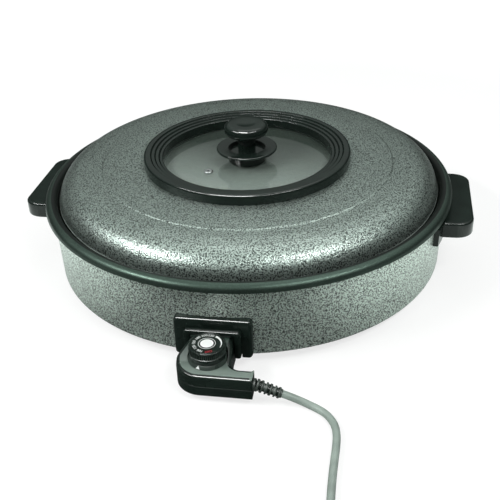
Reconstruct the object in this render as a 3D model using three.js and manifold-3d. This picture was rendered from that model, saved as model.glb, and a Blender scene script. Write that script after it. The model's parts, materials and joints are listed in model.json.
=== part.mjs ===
// An electric skillet: a round double-walled pan with a lift-off windowed lid, two side handles
// and a plug-in thermostat control on a mains cord.
// Millimetres, +Z up. The origin is the centre of the base plate's underside, the control socket
// looks along -Y and the handles stand on +X and -X. The lid's pieces are written over the ledge
// that carries them, the dial and its collar round the dial's own axis, the strain relief from the
// face that it stands on and the plug from its cord end.

import * as THREE from 'three';
import { mergeVertices, toCreasedNormals } from 'three/addons/utils/BufferGeometryUtils.js';
import Module from 'manifold-3d';

const wasm = await Module();
wasm.setup();

// Fits shared by all pieces
const clearance = 0.3; // between faces that touch on the real skillet
const overrun = 2; // how far a cutting body runs past the face that it cuts
const weldDistance = 0.0005; // vertices nearer than this are one

// Facets, which are counts and angles
const largeTurn = 36; // facets round the pan and the lid
const hiddenTurn = 28; // round the large pieces inside them
const mediumTurn = 20; // round the knob and the dial
const smallTurn = 12; // round feet, tubes and the vent
const screwTurn = 8;
const filletAngle = 32; // degrees of turn for each facet of a fully rounded corner
const fineRadius = 6; // corners rounded by less than this get fewer facets
const creaseAngle = 35; // degrees, edges sharper than this stay sharp in shading

// Cooking pan
const pan = {
  rimRadius: 210, // overall radius
  ledgeInset: 22.4, // from the rim's outside to the inside of the wall, at the ledge
  sheet: 2.4,
  floorTop: 19, // cooking surface over the base's underside
  cornerRadius: 18, // between floor and wall
  wallDraft: 1.8, // the wall is this much narrower at the floor
  seatHeight: 72, // ledge that carries the lid
  seatWidth: 9.4,
  seatRound: 2.4,
  riseDraft: 1.4, // lean of the step from the ledge up to the lip
  lipRise: 7, // from the ledge up to the lip's top
  lipDepth: 7, // from the lip's top down to its outer edge
  lipInnerRound: 5,
  lipOuterRound: 6.4,
  lipDraft: 1.6, // lean of the lip's outer skirt
};
const wallRadius = pan.rimRadius - pan.ledgeInset;
const floorUnderside = pan.floorTop - pan.sheet;
const lipTop = pan.seatHeight + pan.lipRise;
const lipEdge = lipTop - pan.lipDepth;

// Outer wall
const shell = {
  rimInset: 7, // from the rim's outside to the wall's face, at its top
  taper: 2, // the wall is this much narrower at its bottom
  sheet: 1.2,
  bottomRound: 3.2,
  flangeWidth: 14,
  lipGap: 0.9, // under the lip
};
const shellTopRadius = pan.rimRadius - shell.rimInset;
const shellBottomRadius = shellTopRadius - shell.taper;
const shellTop = lipTop - pan.sheet - shell.lipGap;
const insideShell = shellBottomRadius - 2 * shell.flangeWidth; // where cuts through the wall may start

// Base plate: a lowered centre disc inside a ring that carries the feet
const base = {
  sheet: 1,
  stepWidth: 3,
  stepRound: 1,
  wallGap: 2.835, // from the flats of the shell's wall to the plate's rim
};
const baseRingUnderside = shell.sheet + clearance;
const baseRingTop = baseRingUnderside + base.sheet;

// Feet, and the studs under the pan that the base plate, the heat shield and the feet sit on
const foot = {
  wallGap: 51, // from the wall to the circle that the feet stand on
  stepGap: 27, // from that circle in to the base plate's step
  count: 4,
  firstAngle: 45,
  topRadius: 11,
  bottomRadius: 9.5,
  round: 1.2,
  bottom: -9, // the table
};
const footRing = shellBottomRadius - foot.wallGap;
const discRadius = footRing - foot.stepGap - base.stepWidth;
const stud = {
  topRadius: 3.8,
  middleRadius: 5,
  shoulderHeight: 5,
  threadRadius: 2.2,
  tip: -5,
};

// Heat shield
const shield = {
  sheet: 0.6,
  wallGap: 23, // from the shell's wall to the shield's rim
  rimHeight: 4,
  rimRound: 2,
  notchWidth: 46,
  notchDepth: 26,
};
const shieldRadius = shellBottomRadius - shield.wallGap;

// Thermostat control: its widths are from the dial's axis, its heights over the base's underside
const control = {
  neckHalfWidth: 19,
  neckTop: 27,
  neckRoom: 0.5, // between the neck and the shroud round it
  neckLength: 10, // to where the sides start to flare
  neckSpread: 2.5, // how much wider the neck is where it meets the arm
  flareSpread: 8.3, // how much wider the side is beside the dial
  backGap: 6, // from the terminal plate to the neck's end
  dialGap: 2.3, // from the shroud to the dial
  frontReach: 25.5, // from the dial's axis to the front
  frontRound: 25,
  shoulderRound: 8,
  armReach: 42,
  armDepth: 14.5,
  armRound: 9,
  cornerRound: 1.6,
  wall: 2,
  bottom: -2.5,
  seam: 7,
  seamGap: 0.3,
  deckRise: 6.5, // from the pins up to the flat top round the dial
  rampDelay: 1, // from the flare's start to the ramp's
  rampReach: 7, // how far the ramp runs past the dial's axis
  edgeRound: 2.6,
};

// Socket on the wall: an inverted U round the neck, in a bevelled frame
const shroud = {
  wall: 6,
  topWall: 5,
  bottom: 4.5,
  outerRound: 3,
  innerRound: 0.6,
  legRound: 2.4,
  proud: 4.5, // how far it stands out of the frame
};
const shroudHalfWidth = control.neckHalfWidth + control.neckRoom + shroud.wall;
const shroudTop = control.neckTop + control.neckRoom + shroud.topWall;
const socketScrew = {
  wallGap: 4.5, // from the shroud's side to the screw's axis
  height: 20,
  shankRadius: 1.6,
  headRadius: 3,
  headHeight: 2,
  cover: 2, // plastic left over the screw's tip
};
const socketScrewOffset = shroudHalfWidth + socketScrew.wallGap;
const plate = {
  sideMargin: 3, // past the screws
  topMargin: 5.5, // over the shroud
  bottom: 4.5,
  thickness: 3.6,
  wallRoom: 0.03, // from its front corners to the shell's wall
  round: 3,
};
const plateHalfWidth = socketScrewOffset + plate.sideMargin;
const plateTop = shroudTop + plate.topMargin;
const plateFront = wallInsideAt(plateHalfWidth, plate.bottom) - plate.wallRoom;
const plateBack = plateFront - plate.thickness;
const frame = {
  sideMargin: 2, // past the terminal plate
  topMargin: 4,
  bottom: 2,
  cornerRound: 4,
  depth: 4, // in front of the wall
  bevelWidth: 3.4,
  bevelDepth: 2.4,
};
const frameHalfWidth = plateHalfWidth + frame.sideMargin;
const frameTop = plateTop + frame.topMargin;
const frameFront = shellTopRadius + frame.depth;
const socketScrewTip = frameFront - socketScrew.cover;
const shroudFront = frameFront + shroud.proud;

// Pins and probe sleeve behind the socket
const inlet = {
  pinSpacing: 22,
  pinHeight: 11,
  pinRadius: 2,
  pinTip: 1.2,
  pinLength: 25, // in front of the terminal plate
};
const pinReach = plateFront + inlet.pinLength;
const probe = {
  radius: 2.5,
  tipGap: 4, // to the sleeve's closed end
  grip: 17.6, // length inside the control
  tipRound: 2,
};
const sleeve = {
  wall: 1,
  probeRoom: 0.5,
  length: 99.4, // from the terminal plate's back to its closed end
  endWall: 2,
  proud: 1.6, // in front of the terminal plate
};
const sleeveBore = probe.radius + sleeve.probeRoom;
const sleeveRadius = sleeveBore + sleeve.wall;
const sleeveInnerEnd = plateBack - sleeve.length;
const probeHeight = floorUnderside - clearance - sleeveRadius;

// Heating element: one tubular ring with two cold ends
const element = {
  radius: 3.7,
  footGap: 32, // from the circle of the feet in to the ring
  bendRadius: 22,
  steps: 54,
  sides: 6,
  levelEnd: 21, // length of the cold ends that runs level before the terminal plate
};
const elementHeight = floorUnderside - clearance - element.radius;
const elementRing = footRing - element.footGap;
const clamp = {
  sheet: 1,
  width: 12,
  tab: 7,
  tubeRoom: 0.6,
  count: 3,
  firstAngle: 90,
};
const strap = {
  sheet: 0.8,
  width: 8,
  offset: 22, // sideways from the probe
  contactLength: 18,
  reach: 43.4, // from the terminal plate's back to its far end
  drop: 9, // length down the plate
};

// Distances along Y from the pan's centre to the places of the control
const controlBack = plateFront + control.backGap;
const flareStart = controlBack + control.neckLength;
const rampStart = flareStart + control.rampDelay;
const probeBack = controlBack + probe.grip;
const deckHeight = inlet.pinHeight + control.deckRise;
const innerFloor = control.bottom + control.wall;

const receptacle = {
  outerRadius: 3,
  length: 19,
};
const thermostat = {
  halfWidth: 7,
  length: 17,
  floorGap: 0.7,
  deckGap: 0.9,
  round: 1.2,
};
const thermostatTop = deckHeight - control.wall - thermostat.deckGap;
const terminal = {
  start: 5,
  length: 16,
  depth: 7,
  floorGap: 0.7,
  height: 10,
  round: 1,
};
const housingScrew = {
  side: 14, // the first one, from the dial's axis
  inset: 11.9, // and from the front
  armEnd: 10, // the second one, from the arm's end
  armInset: 7.3, // and from the front
  shankRadius: 1.3,
  headRadius: 2.6,
  headHeight: 1.8,
  bossRadius: 3.2,
  cover: 4.5, // from its tip to the top of the deck
};
const housingScrewTip = deckHeight - housingScrew.cover;

// Dial
const dial = {
  radius: 15.2,
  skirtRadius: 14.6,
  skirtHeight: 5,
  bottomGap: 0.5,
  height: 12.2,
  fluteCount: 24,
  fluteDepth: 0.7,
  rimRound: 0.9,
  capRadius: 12.2,
  capRecess: 0.8,
};
const collar = {
  lead: 2, // past the dial's side
  height: 3,
  gap: 0.4,
};
const collarRadius = dial.radius + collar.lead;
const dialBottom = deckHeight + clearance + collar.height + dial.bottomGap;
const dialTop = dialBottom + dial.height;
const dialReach = shroudFront + control.dialGap + dial.radius;
const rampEnd = dialReach + control.rampReach;
const controlFront = dialReach + control.frontReach;
const armBack = controlFront - control.armDepth;
const dialCap = { thickness: 0.6 };
const spindle = {
  radius: 3,
  cover: 3.5, // from its tip to the dial's top
};
const spindleTip = dialTop - spindle.cover;

// Strain relief on the arm's end
const relief = {
  inset: 6.5, // of its axis from the control's front
  height: 8.6,
  flangeRadius: 5.4,
  flangeLength: 2.2,
  startRadius: 5.1,
  endRadius: 4.3,
  ribDepth: 1.2,
  ribCount: 6,
  ribShare: 0.55, // of each rib's pitch that stands proud
  length: 23,
  droop: 17.5, // degrees
  turn: 2, // degrees towards the front
  neckRadius: 3.4,
  neckRoom: 0.6,
  collarRadius: 4.2,
  collarLength: 1.6,
};
const reliefDistance = controlFront - relief.inset;

// Side handles, and the brackets whose studs hold them
const handle = {
  halfLength: 56,
  depth: 27, // out from the wall
  thickness: 14,
  rimGap: 7.5, // from the lip's edge down to its top
  outerRound: 16,
  innerRound: 2,
  edgeRound: 2.4,
  endTaper: 3, // the outer corners stand this much nearer the middle
};
const handleReach = shellTopRadius + handle.depth;
const handleTop = lipEdge - handle.rimGap;
const handleBottom = handleTop - handle.thickness;
const bracket = {
  endMargin: 10, // past the handle's ends
  thickness: 4.6,
  rimGap: 10,
  height: 18,
};
const bracketHalfLength = handle.halfLength + bracket.endMargin;
const bracketTop = lipEdge - bracket.rimGap;
const bracketBottom = bracketTop - bracket.height;
const handleStud = {
  offset: 26,
  radius: 2.2,
  inwards: 6, // past the wall's bottom radius
  cover: 11, // from its tip to the handle's outer edge
};
const handleStudInner = shellBottomRadius - handleStud.inwards;
const handleStudOuter = handleReach - handleStud.cover;

// Window ring, seated on the rim of the lid's hole
const ring = {
  lap: 9.2, // outwards over the lid
  lip: 10.5, // inwards over the glass
  height: 10.3, // of its outer band over the lid's seat
  outerRound: 2,
  innerRound: 1,
  stepCount: 3, // concentric steps on the top, down to the inner edge
  stepHeight: 1.2,
  stepInset: 4, // of the first one from the inner edge
  stepWidth: 4.2,
  throat: 2.2, // how far its inner lip reaches below the lid's seat
  throatDraft: 0.8,
};

// Lid: heights over the underside of its edge bead
const lid = {
  holeRadius: 97,
  sheet: 1.2,
  beadRadius: 1.3,
  edgeGap: 2.4, // from the step up to the lip
  shoulderWidth: 27.1, // quarter ellipse from the edge up to the crown
  shoulderHeight: 24,
  shoulderBase: 1.6,
  shoulderSteps: 4,
  shoulderEnd: 80, // degrees up the ellipse
  embossInset: 18.3, // of the embossed circle from the ellipse's centre
  embossStep: 0.8,
  embossSlope: 1.4,
  crownRise: 1.3, // from the ellipse's top to the foot of the embossed circle
  middleRise: 0.9,
  middleShare: 0.48, // of the way from the ring's seat to the embossed circle
  seatRise: 0.4,
  seatMargin: 2.2, // flat ground round the window ring
};
const lidEdge = wallRadius + pan.seatWidth - lid.edgeGap;
const shoulderRadius = lidEdge - lid.shoulderWidth;
const embossRadius = shoulderRadius - lid.embossInset;
const crownEdge = lid.shoulderBase + lid.shoulderHeight + lid.crownRise;
const crownMiddle = crownEdge + lid.middleRise;
const lidSeat = crownMiddle + lid.seatRise;
const ringOuter = lid.holeRadius + ring.lap;
const ringInner = lid.holeRadius - ring.lip;
const ringTop = lidSeat + ring.height;
const seatRadius = ringOuter + lid.seatMargin;

// Glass, gasket and clamp ring
const gasket = {
  wall: 1.2,
  holeGap: 0.8, // to the edge of the lid's hole
  lipCover: 2, // how far the window ring's lip covers it
};
const gasketOuter = lid.holeRadius - gasket.holeGap;
const gasketInner = ringInner + gasket.lipCover;
const glass = { thickness: 3.4, dome: 1, domeSteps: 2 };
const clampRing = {
  sheet: 1.2,
  riserGap: 1.4, // from the edge of the lid's hole to the outside of the riser
  flange: 6,
  lap: 1, // it covers the gasket but for this width
};
const riserRadius = lid.holeRadius + clampRing.riserGap;
const clampOuter = riserRadius + clampRing.flange;
const clampInner = gasketInner + clampRing.lap;
const peg = {
  count: 4,
  firstAngle: 45,
  radius: 1.6,
  cover: 2, // plastic left over the peg's tip
};
const pegRing = (riserRadius + clampOuter) / 2;
const pegTip = ringTop - ring.stepCount * ring.stepHeight - peg.cover;
const throatBottom = lidSeat - ring.throat;
const gasketTop = throatBottom - clearance;
const glassEdgeTop = gasketTop - gasket.wall - clearance;
const glassRadius = gasketOuter - gasket.wall - clearance;
const gasketBottom = glassEdgeTop - glass.thickness - clearance - gasket.wall;
const domeRadius = gasketInner - clearance;
const clampFlangeTop = lidSeat - lid.sheet - clearance;

// Steam vent in the glass
const vent = {
  radius: 3.5,
  tubeRadius: 2.4,
  boreRadius: 1.5,
  flange: 0.9,
  distance: 46.8,
  angle: 222, // degrees round from +X
};

// Knob on its base, in the middle of the glass
const knobBase = {
  footRadius: 19,
  shoulderRadius: 20.5,
  height: 14.1, // from the glass to the flange
  flangeRadius: 30.5,
  flangeThickness: 2.8,
  flangeRound: 1.2,
  recessRadius: 18.6,
  recessDepth: 4.2,
  recessRound: 0.8,
};
const knob = {
  radius: 22.3,
  height: 27.8, // over the floor of the base's recess
  thickness: 11.6,
  round: 5,
  dimpleRadius: 10,
  dimpleDepth: 0.8,
  neckRadius: 9,
  neckRound: 3,
};
const glassCrown = glassEdgeTop + glass.dome;
const knobBaseBottom = glassCrown + clearance;
const flangeBottom = knobBaseBottom + knobBase.height;
const flangeTop = flangeBottom + knobBase.flangeThickness;
const recessFloor = flangeTop - knobBase.recessDepth;
const knobBottom = recessFloor + clearance;
const knobTop = knobBottom + knob.height;
const knobScrew = {
  shankRadius: 2.4,
  headRadius: 5,
  headHeight: 3,
  cover: 14.3, // from its tip to the knob's top
};
const knobScrewTip = knobTop - knobScrew.cover;
const washer = { radius: 9, thickness: 1.5 };

// Mains cord
const cord = {
  radius: 3.25,
  sides: 8,
  steps: 26,
};
const coil = {
  meanRadius: 37.4,
  turns: 5.25,
  gap: 0.6, // from one turn to the next, and from one layer to the next
  stepsPerTurn: 24,
  sides: 6,
  leastGap: 0.4,
};
const coilPitch = 2 * cord.radius + coil.gap;
const tie = {
  thickness: 0.8,
  width: 9,
  angle: 180,
  slack: 0.9,
  round: 2,
};
const coilHeight = foot.bottom + tie.thickness + clearance + cord.radius;
const tailSteps = 9;
const plug = {
  sleeveEndRadius: 4.6,
  sleeveRootRadius: 6.5,
  sleeveLength: 26,
  shoulderRadius: 9,
  waistRadius: 13.5,
  bodyLength: 36,
  faceRadius: 18.6,
  faceDepth: 11,
  faceRound: 2,
  pinRadius: 2.4,
  pinLength: 19,
  pinSpacing: 19,
  pinRound: 1.2,
  pinSeat: 5, // depth of the pins in the face
};

// Colours of the finishes
const colours = {
  hammertone: 0x83928a,
  hammertoneLid: 0x74847b,
  lip: 0x39473e,
  nonStick: 0x23282a,
  blackPlastic: 0x141a18,
  steel: 0xb4b8b8,
  brass: 0xb99a56,
  ceramic: 0xd9d4c6,
  rubber: 0x1d1f1f,
  glass: 0x8fa297,
  silicone: 0x3a4541,
  white: 0xf1f3f2,
  cord: 0x8d9b93,
  element: 0x5d5a55,
};

// Two-dimensional outlines

// How far from each corner its rounding starts; two roundings that would meet share their side.
function roundingStarts(corners, closed) {
  const count = corners.length;
  const sides = corners.map(([x, y], index) => {
    return new THREE.Vector2(...corners[(index + 1) % count]).sub(new THREE.Vector2(x, y));
  });
  const wanted = corners.map(([, , radius = 0], index) => {
    const isEnd = !closed && (index === 0 || index === count - 1);
    if (isEnd || radius <= 0) {
      return 0;
    }
    const back = sides[(index + count - 1) % count].clone().negate();
    const cosine = back.dot(sides[index]) / (back.length() * sides[index].length());
    return radius / Math.tan(Math.acos(THREE.MathUtils.clamp(cosine, -1, 1)) / 2);
  });
  const shares = sides.map((side, index) => {
    const sum = wanted[index] + wanted[(index + 1) % count];
    return sum > side.length() ? side.length() / sum : 1;
  });
  return wanted.map((start, index) => start * Math.min(shares[index], shares[(index + count - 1) % count]));
}

// Rounds the corners [x, y, radius] of an outline, each by at most what its sides leave room for.
function rounded(corners, closed = true) {
  const points = [];
  const count = corners.length;
  const starts = roundingStarts(corners, closed);
  corners.forEach(([x, y, radius = 0], index) => {
    const isEnd = !closed && (index === 0 || index === count - 1);
    if (isEnd || radius <= 0) {
      points.push(new THREE.Vector2(x, y));
      return;
    }
    const here = new THREE.Vector2(x, y);
    const before = new THREE.Vector2(...corners[(index + count - 1) % count]).sub(here);
    const after = new THREE.Vector2(...corners[(index + 1) % count]).sub(here);
    before.normalize();
    after.normalize();
    const halfAngle = Math.acos(THREE.MathUtils.clamp(before.dot(after), -1, 1)) / 2;
    const tangent = starts[index];
    const reach = tangent * Math.tan(halfAngle);
    const centre = before.clone().add(after).normalize();
    centre.multiplyScalar(tangent / Math.cos(halfAngle)).add(here);
    const start = before.clone().multiplyScalar(tangent).add(here).sub(centre);
    const turn = (Math.PI - 2 * halfAngle) * Math.sign(after.cross(before));
    const fineness = Math.min(1, reach / fineRadius) / filletAngle;
    const steps = Math.max(1, Math.round(THREE.MathUtils.radToDeg(Math.abs(turn)) * fineness));
    for (let step = 0; step <= steps; step += 1) {
      const angle = start.angle() + (turn * step) / steps;
      points.push(new THREE.Vector2(Math.cos(angle), Math.sin(angle)).multiplyScalar(reach).add(centre));
    }
  });
  return points;
}

// Moves each corner of an outline to the right of its travel, and its rounding with it.
function offset(corners, distance, closed = true) {
  const count = corners.length;
  const normalOf = (from, to) => {
    const along = new THREE.Vector2(to[0] - from[0], to[1] - from[1]).normalize();
    return new THREE.Vector2(along.y, -along.x);
  };
  return corners.map((corner, index) => {
    const [x, y, radius = 0] = corner;
    const first = !closed && index === 0;
    const last = !closed && index === count - 1;
    const next = corners[(index + 1) % count];
    const previous = corners[(index + count - 1) % count];
    const normalIn = first ? normalOf(corner, next) : normalOf(previous, corner);
    const normalOut = last ? normalIn : normalOf(corner, next);
    const mitre = normalIn.clone().add(normalOut);
    mitre.multiplyScalar(distance / (1 + normalIn.dot(normalOut)));
    const turnsLeft = normalIn.cross(normalOut) > 0;
    const newRadius = radius > 0 ? Math.max(0, radius + (turnsLeft ? distance : -distance)) : 0;
    return [x + mitre.x, y + mitre.y, newRadius];
  });
}

// Closed outline of bent sheet metal whose thickness lies to the right of the corners' travel.
function sheetOutline(corners, thickness) {
  const face = rounded(corners, false);
  const back = rounded(offset(corners, thickness, false), false);
  return [...face, ...back.reverse()];
}

function rectangle(left, bottom, right, top, radius = 0) {
  return [[left, bottom, radius], [right, bottom, radius], [right, top, radius], [left, top, radius]];
}

function circle(x, y, radius, facets) {
  return Array.from({ length: facets }, (_, index) => {
    const angle = (2 * Math.PI * index) / facets;
    return new THREE.Vector2(x + radius * Math.cos(angle), y + radius * Math.sin(angle));
  });
}

// Solids

// Joins the corners that meet, drops triangles without area and turns the faces outwards.
function welded(geometry) {
  const bare = geometry.clone();
  Object.keys(bare.attributes)
    .filter((name) => name !== 'position')
    .forEach((name) => bare.deleteAttribute(name));
  const merged = mergeVertices(bare, weldDistance);
  const index = merged.index.array;
  const position = merged.attributes.position;
  const kept = [];
  let volume = 0;
  const corners = [new THREE.Vector3(), new THREE.Vector3(), new THREE.Vector3()];
  for (let at = 0; at < index.length; at += 3) {
    const [a, b, c] = [index[at], index[at + 1], index[at + 2]];
    if (a !== b && b !== c && c !== a) {
      kept.push(a, b, c);
      [a, b, c].forEach((vertex, side) => corners[side].fromBufferAttribute(position, vertex));
      volume += corners[0].dot(corners[1].clone().cross(corners[2]));
    }
  }
  if (volume < 0) {
    kept.reverse();
  }
  merged.setIndex(kept);
  return merged;
}

function toSolid(geometry) {
  const closed = welded(geometry);
  return new wasm.Manifold(new wasm.Mesh({
    numProp: 3,
    vertProperties: new Float32Array(closed.attributes.position.array),
    triVerts: new Uint32Array(closed.index.array),
  }));
}

function fromSolid(solid) {
  const mesh = solid.getMesh();
  const geometry = new THREE.BufferGeometry();
  geometry.setAttribute('position', new THREE.BufferAttribute(mesh.vertProperties, 3));
  geometry.setIndex(new THREE.BufferAttribute(mesh.triVerts, 1));
  return geometry;
}

function cut(geometry, tools) {
  return fromSolid(tools.reduce((solid, tool) => solid.subtract(toSolid(tool)), toSolid(geometry)));
}

function join(geometries) {
  return fromSolid(geometries.slice(1).reduce((solid, more) => solid.add(toSolid(more)), toSolid(geometries[0])));
}

function common(geometry, other) {
  return fromSolid(toSolid(geometry).intersect(toSolid(other)));
}

// Turns an outline of radius and height round the Z axis.
function revolve(points, facets) {
  const first = points[0];
  const last = points[points.length - 1];
  const onAxis = first.x === 0 && last.x === 0;
  const profile = onAxis ? points : [...points, first];
  const geometry = new THREE.LatheGeometry(profile, facets);
  geometry.rotateX(Math.PI / 2);
  return geometry;
}

// Raises a plan outline from one height to another, with its edges rounded if asked.
function raise(points, bottom, top, edge = 0) {
  const rounding = {
    bevelEnabled: true,
    bevelThickness: edge,
    bevelSize: edge,
    bevelOffset: -edge,
    bevelSegments: 2,
  };
  const geometry = new THREE.ExtrudeGeometry(new THREE.Shape(points), {
    depth: top - bottom - 2 * edge,
    ...(edge > 0 ? rounding : { bevelEnabled: false }),
  });
  geometry.translate(0, 0, bottom + edge);
  return geometry;
}

// Runs an outline of x and height along Y, from one distance before the pan to a greater one.
function runForward(points, near, far) {
  const geometry = raise(points, near, far);
  geometry.rotateX(Math.PI / 2);
  return geometry;
}

// Runs an outline of y and height along X.
function runSideways(points, left, right) {
  const geometry = raise(points, left, right);
  const axes = new THREE.Matrix4().makeBasis(
    new THREE.Vector3(0, 1, 0),
    new THREE.Vector3(0, 0, 1),
    new THREE.Vector3(1, 0, 0),
  );
  geometry.applyMatrix4(axes);
  return geometry;
}

function upright(x, y, radius, bottom, top, facets) {
  return raise(circle(x, y, radius, facets), bottom, top);
}

function rod(x, height, radius, near, far, facets) {
  return runForward(circle(x, height, radius, facets), near, far);
}

function box(left, right, back, front, bottom, top) {
  const geometry = new THREE.BoxGeometry(right - left, back - front, top - bottom);
  geometry.translate((left + right) / 2, (back + front) / 2, (bottom + top) / 2);
  return geometry;
}

// A pan-headed screw that stands on its head, with its tip at the top.
function screw(size, headBottom, tip) {
  return revolve(rounded([
    [0, headBottom],
    [size.headRadius, headBottom, size.headHeight / 2],
    [size.headRadius, headBottom + size.headHeight],
    [size.shankRadius, headBottom + size.headHeight],
    [size.shankRadius, tip],
    [0, tip],
  ]), screwTurn);
}

function sweep(curve, radius, sides, steps) {
  return new THREE.ExtrudeGeometry(new THREE.Shape(circle(0, 0, radius, sides)), {
    steps,
    bevelEnabled: false,
    extrudePath: curve,
  });
}

function turned(geometry, degrees) {
  const copy = geometry.clone();
  copy.rotateZ(THREE.MathUtils.degToRad(degrees));
  return copy;
}

function anglesOf({ count, firstAngle }) {
  return Array.from({ length: count }, (_, index) => firstAngle + (360 * index) / count);
}

// Meshes

function material(colour, roughness, metalness) {
  return new THREE.MeshStandardMaterial({ color: colour, roughness, metalness });
}

const finishes = {
  hammertone: () => material(colours.hammertone, 0.45, 0.3),
  hammertoneLid: () => material(colours.hammertoneLid, 0.4, 0.4),
  lip: () => material(colours.lip, 0.5, 0.1),
  plastic: () => material(colours.blackPlastic, 0.25, 0),
  mattPlastic: () => material(colours.blackPlastic, 0.5, 0),
  steel: () => material(colours.steel, 0.35, 0.9),
  brass: () => material(colours.brass, 0.35, 0.9),
  ceramic: () => material(colours.ceramic, 0.7, 0),
  rubber: () => material(colours.rubber, 0.8, 0),
  silicone: () => material(colours.silicone, 0.6, 0),
  element: () => material(colours.element, 0.5, 0.7),
  white: () => material(colours.white, 0.4, 0),
  cord: () => material(colours.cord, 0.5, 0),
  glass: () => new THREE.MeshStandardMaterial({
    color: colours.glass,
    roughness: 0.05,
    metalness: 0,
    transparent: true,
    opacity: 0.4,
  }),
};

function piece(name, geometry, finish) {
  const shaded = toCreasedNormals(welded(geometry), THREE.MathUtils.degToRad(creaseAngle));
  const mesh = new THREE.Mesh(shaded, finish());
  mesh.name = name;
  return mesh;
}

// Copies of a piece round the Z axis, each with its own name.
function around(name, geometry, finish, ringOfPieces) {
  return anglesOf(ringOfPieces).map((angle, index) => {
    const copy = piece(`${name}_${index + 1}`, geometry, finish);
    copy.rotation.z = THREE.MathUtils.degToRad(angle);
    return copy;
  });
}

function leftAndRight(name, shapeOf, finish) {
  return [piece(`${name}_left`, shapeOf(-1), finish), piece(`${name}_right`, shapeOf(1), finish)];
}

// Pan and outer wall

function cookingPan() {
  const outline = sheetOutline([
    [0, pan.floorTop],
    [wallRadius - pan.wallDraft, pan.floorTop, pan.cornerRadius],
    [wallRadius, pan.seatHeight, pan.seatRound],
    [wallRadius + pan.seatWidth, pan.seatHeight, pan.seatRound],
    [wallRadius + pan.seatWidth + pan.riseDraft, lipTop, pan.lipInnerRound],
    [pan.rimRadius - pan.lipDraft, lipTop, pan.lipOuterRound],
    [pan.rimRadius, lipEdge],
  ], pan.sheet);
  return piece('cooking_pan', revolve(outline, largeTurn), finishes.lip);
}

function outerShell() {
  const outline = sheetOutline([
    [shellTopRadius, shellTop],
    [shellBottomRadius, 0, shell.bottomRound],
    [shellBottomRadius - shell.flangeWidth, 0],
  ], shell.sheet);
  const opening = runForward(
    rounded(shroudOutline(clearance, shroud.bottom - clearance)),
    insideShell,
    shellTopRadius + overrun,
  );
  const screwHoles = [-1, 1].map((side) => rod(
    side * socketScrewOffset,
    socketScrew.height,
    socketScrew.shankRadius + clearance,
    insideShell,
    shellTopRadius + overrun,
    screwTurn,
  ));
  const handleHoles = [-1, 1].flatMap((side) => handleBores(
    side,
    handleStud.radius + clearance,
    insideShell,
    shellTopRadius + overrun,
  ));
  const body = cut(revolve(outline, largeTurn), [opening, ...screwHoles, ...handleHoles]);
  return piece('outer_shell', body, finishes.hammertone);
}

// How far before the pan's centre the faceted inside of the wall lies, at a place to the side.
function wallInsideAt(x, height) {
  const radius = shellBottomRadius - shell.sheet + (shell.taper * height) / shellTop;
  const facet = (2 * Math.PI) / largeTurn;
  const middle = (Math.floor(Math.asin(x / radius) / facet) + 1 / 2) * facet;
  return (radius * Math.cos(facet / 2) - x * Math.sin(middle)) / Math.cos(middle);
}

// The shell's outer face as a solid cone, for cutting what lies against it.
function wallCone(gap) {
  const lean = (shellTopRadius - shellBottomRadius) / shellTop;
  const low = foot.bottom - overrun;
  const high = lipTop + overrun;
  return revolve([
    new THREE.Vector2(0, low),
    new THREE.Vector2(shellBottomRadius + lean * low + gap, low),
    new THREE.Vector2(shellBottomRadius + lean * high + gap, high),
    new THREE.Vector2(0, high),
  ], 2 * largeTurn);
}

// Base

function basePlate() {
  const rim = shellBottomRadius * Math.cos(Math.PI / largeTurn) - base.wallGap;
  const outline = sheetOutline([
    [rim, baseRingUnderside],
    [discRadius + base.stepWidth, baseRingUnderside, base.stepRound],
    [discRadius, 0, base.stepRound],
    [0, 0],
  ], base.sheet);
  const hole = upright(
    footRing,
    0,
    stud.threadRadius + clearance,
    -overrun,
    baseRingTop + overrun,
    smallTurn,
  );
  const holes = anglesOf(foot).map((angle) => turned(hole, angle));
  return piece('base_plate', cut(revolve(outline, hiddenTurn), holes), finishes.steel);
}

function feet() {
  const top = baseRingUnderside - clearance;
  const bore = stud.threadRadius + clearance;
  const outline = rounded([
    [0, foot.bottom],
    [foot.bottomRadius, foot.bottom, foot.round],
    [foot.topRadius, top],
    [bore, top],
    [bore, stud.tip - clearance],
    [0, stud.tip - clearance],
  ]);
  const body = revolve(outline, smallTurn);
  body.translate(footRing, 0, 0);
  return around('foot', body, finishes.rubber, foot);
}

function baseStuds() {
  const top = floorUnderside - clearance;
  const bottom = baseRingTop + clearance;
  const outline = rounded([
    [0, stud.tip],
    [stud.threadRadius, stud.tip],
    [stud.threadRadius, bottom],
    [stud.middleRadius, bottom],
    [stud.middleRadius, stud.shoulderHeight],
    [stud.topRadius, stud.shoulderHeight],
    [stud.topRadius, top],
    [0, top],
  ]);
  const body = revolve(outline, screwTurn);
  body.translate(footRing, 0, 0);
  return around('base_stud', body, finishes.steel, foot);
}

function heatShield() {
  const level = stud.shoulderHeight + clearance;
  const outline = sheetOutline([
    [shieldRadius, level + shield.rimHeight],
    [shieldRadius, level, shield.rimRound],
    [0, level],
  ], shield.sheet);
  const hole = upright(
    footRing,
    0,
    stud.topRadius + clearance,
    level - overrun,
    level + shield.rimHeight + overrun,
    smallTurn,
  );
  const notch = box(
    -shield.notchWidth / 2,
    shield.notchWidth / 2,
    shield.notchDepth - shieldRadius,
    -shieldRadius - overrun,
    level - overrun,
    level + shield.rimHeight + overrun,
  );
  const cuts = [...anglesOf(foot).map((angle) => turned(hole, angle)), notch];
  return piece('heat_shield', cut(revolve(outline, hiddenTurn), cuts), finishes.steel);
}

// Heating element and inlet

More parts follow.
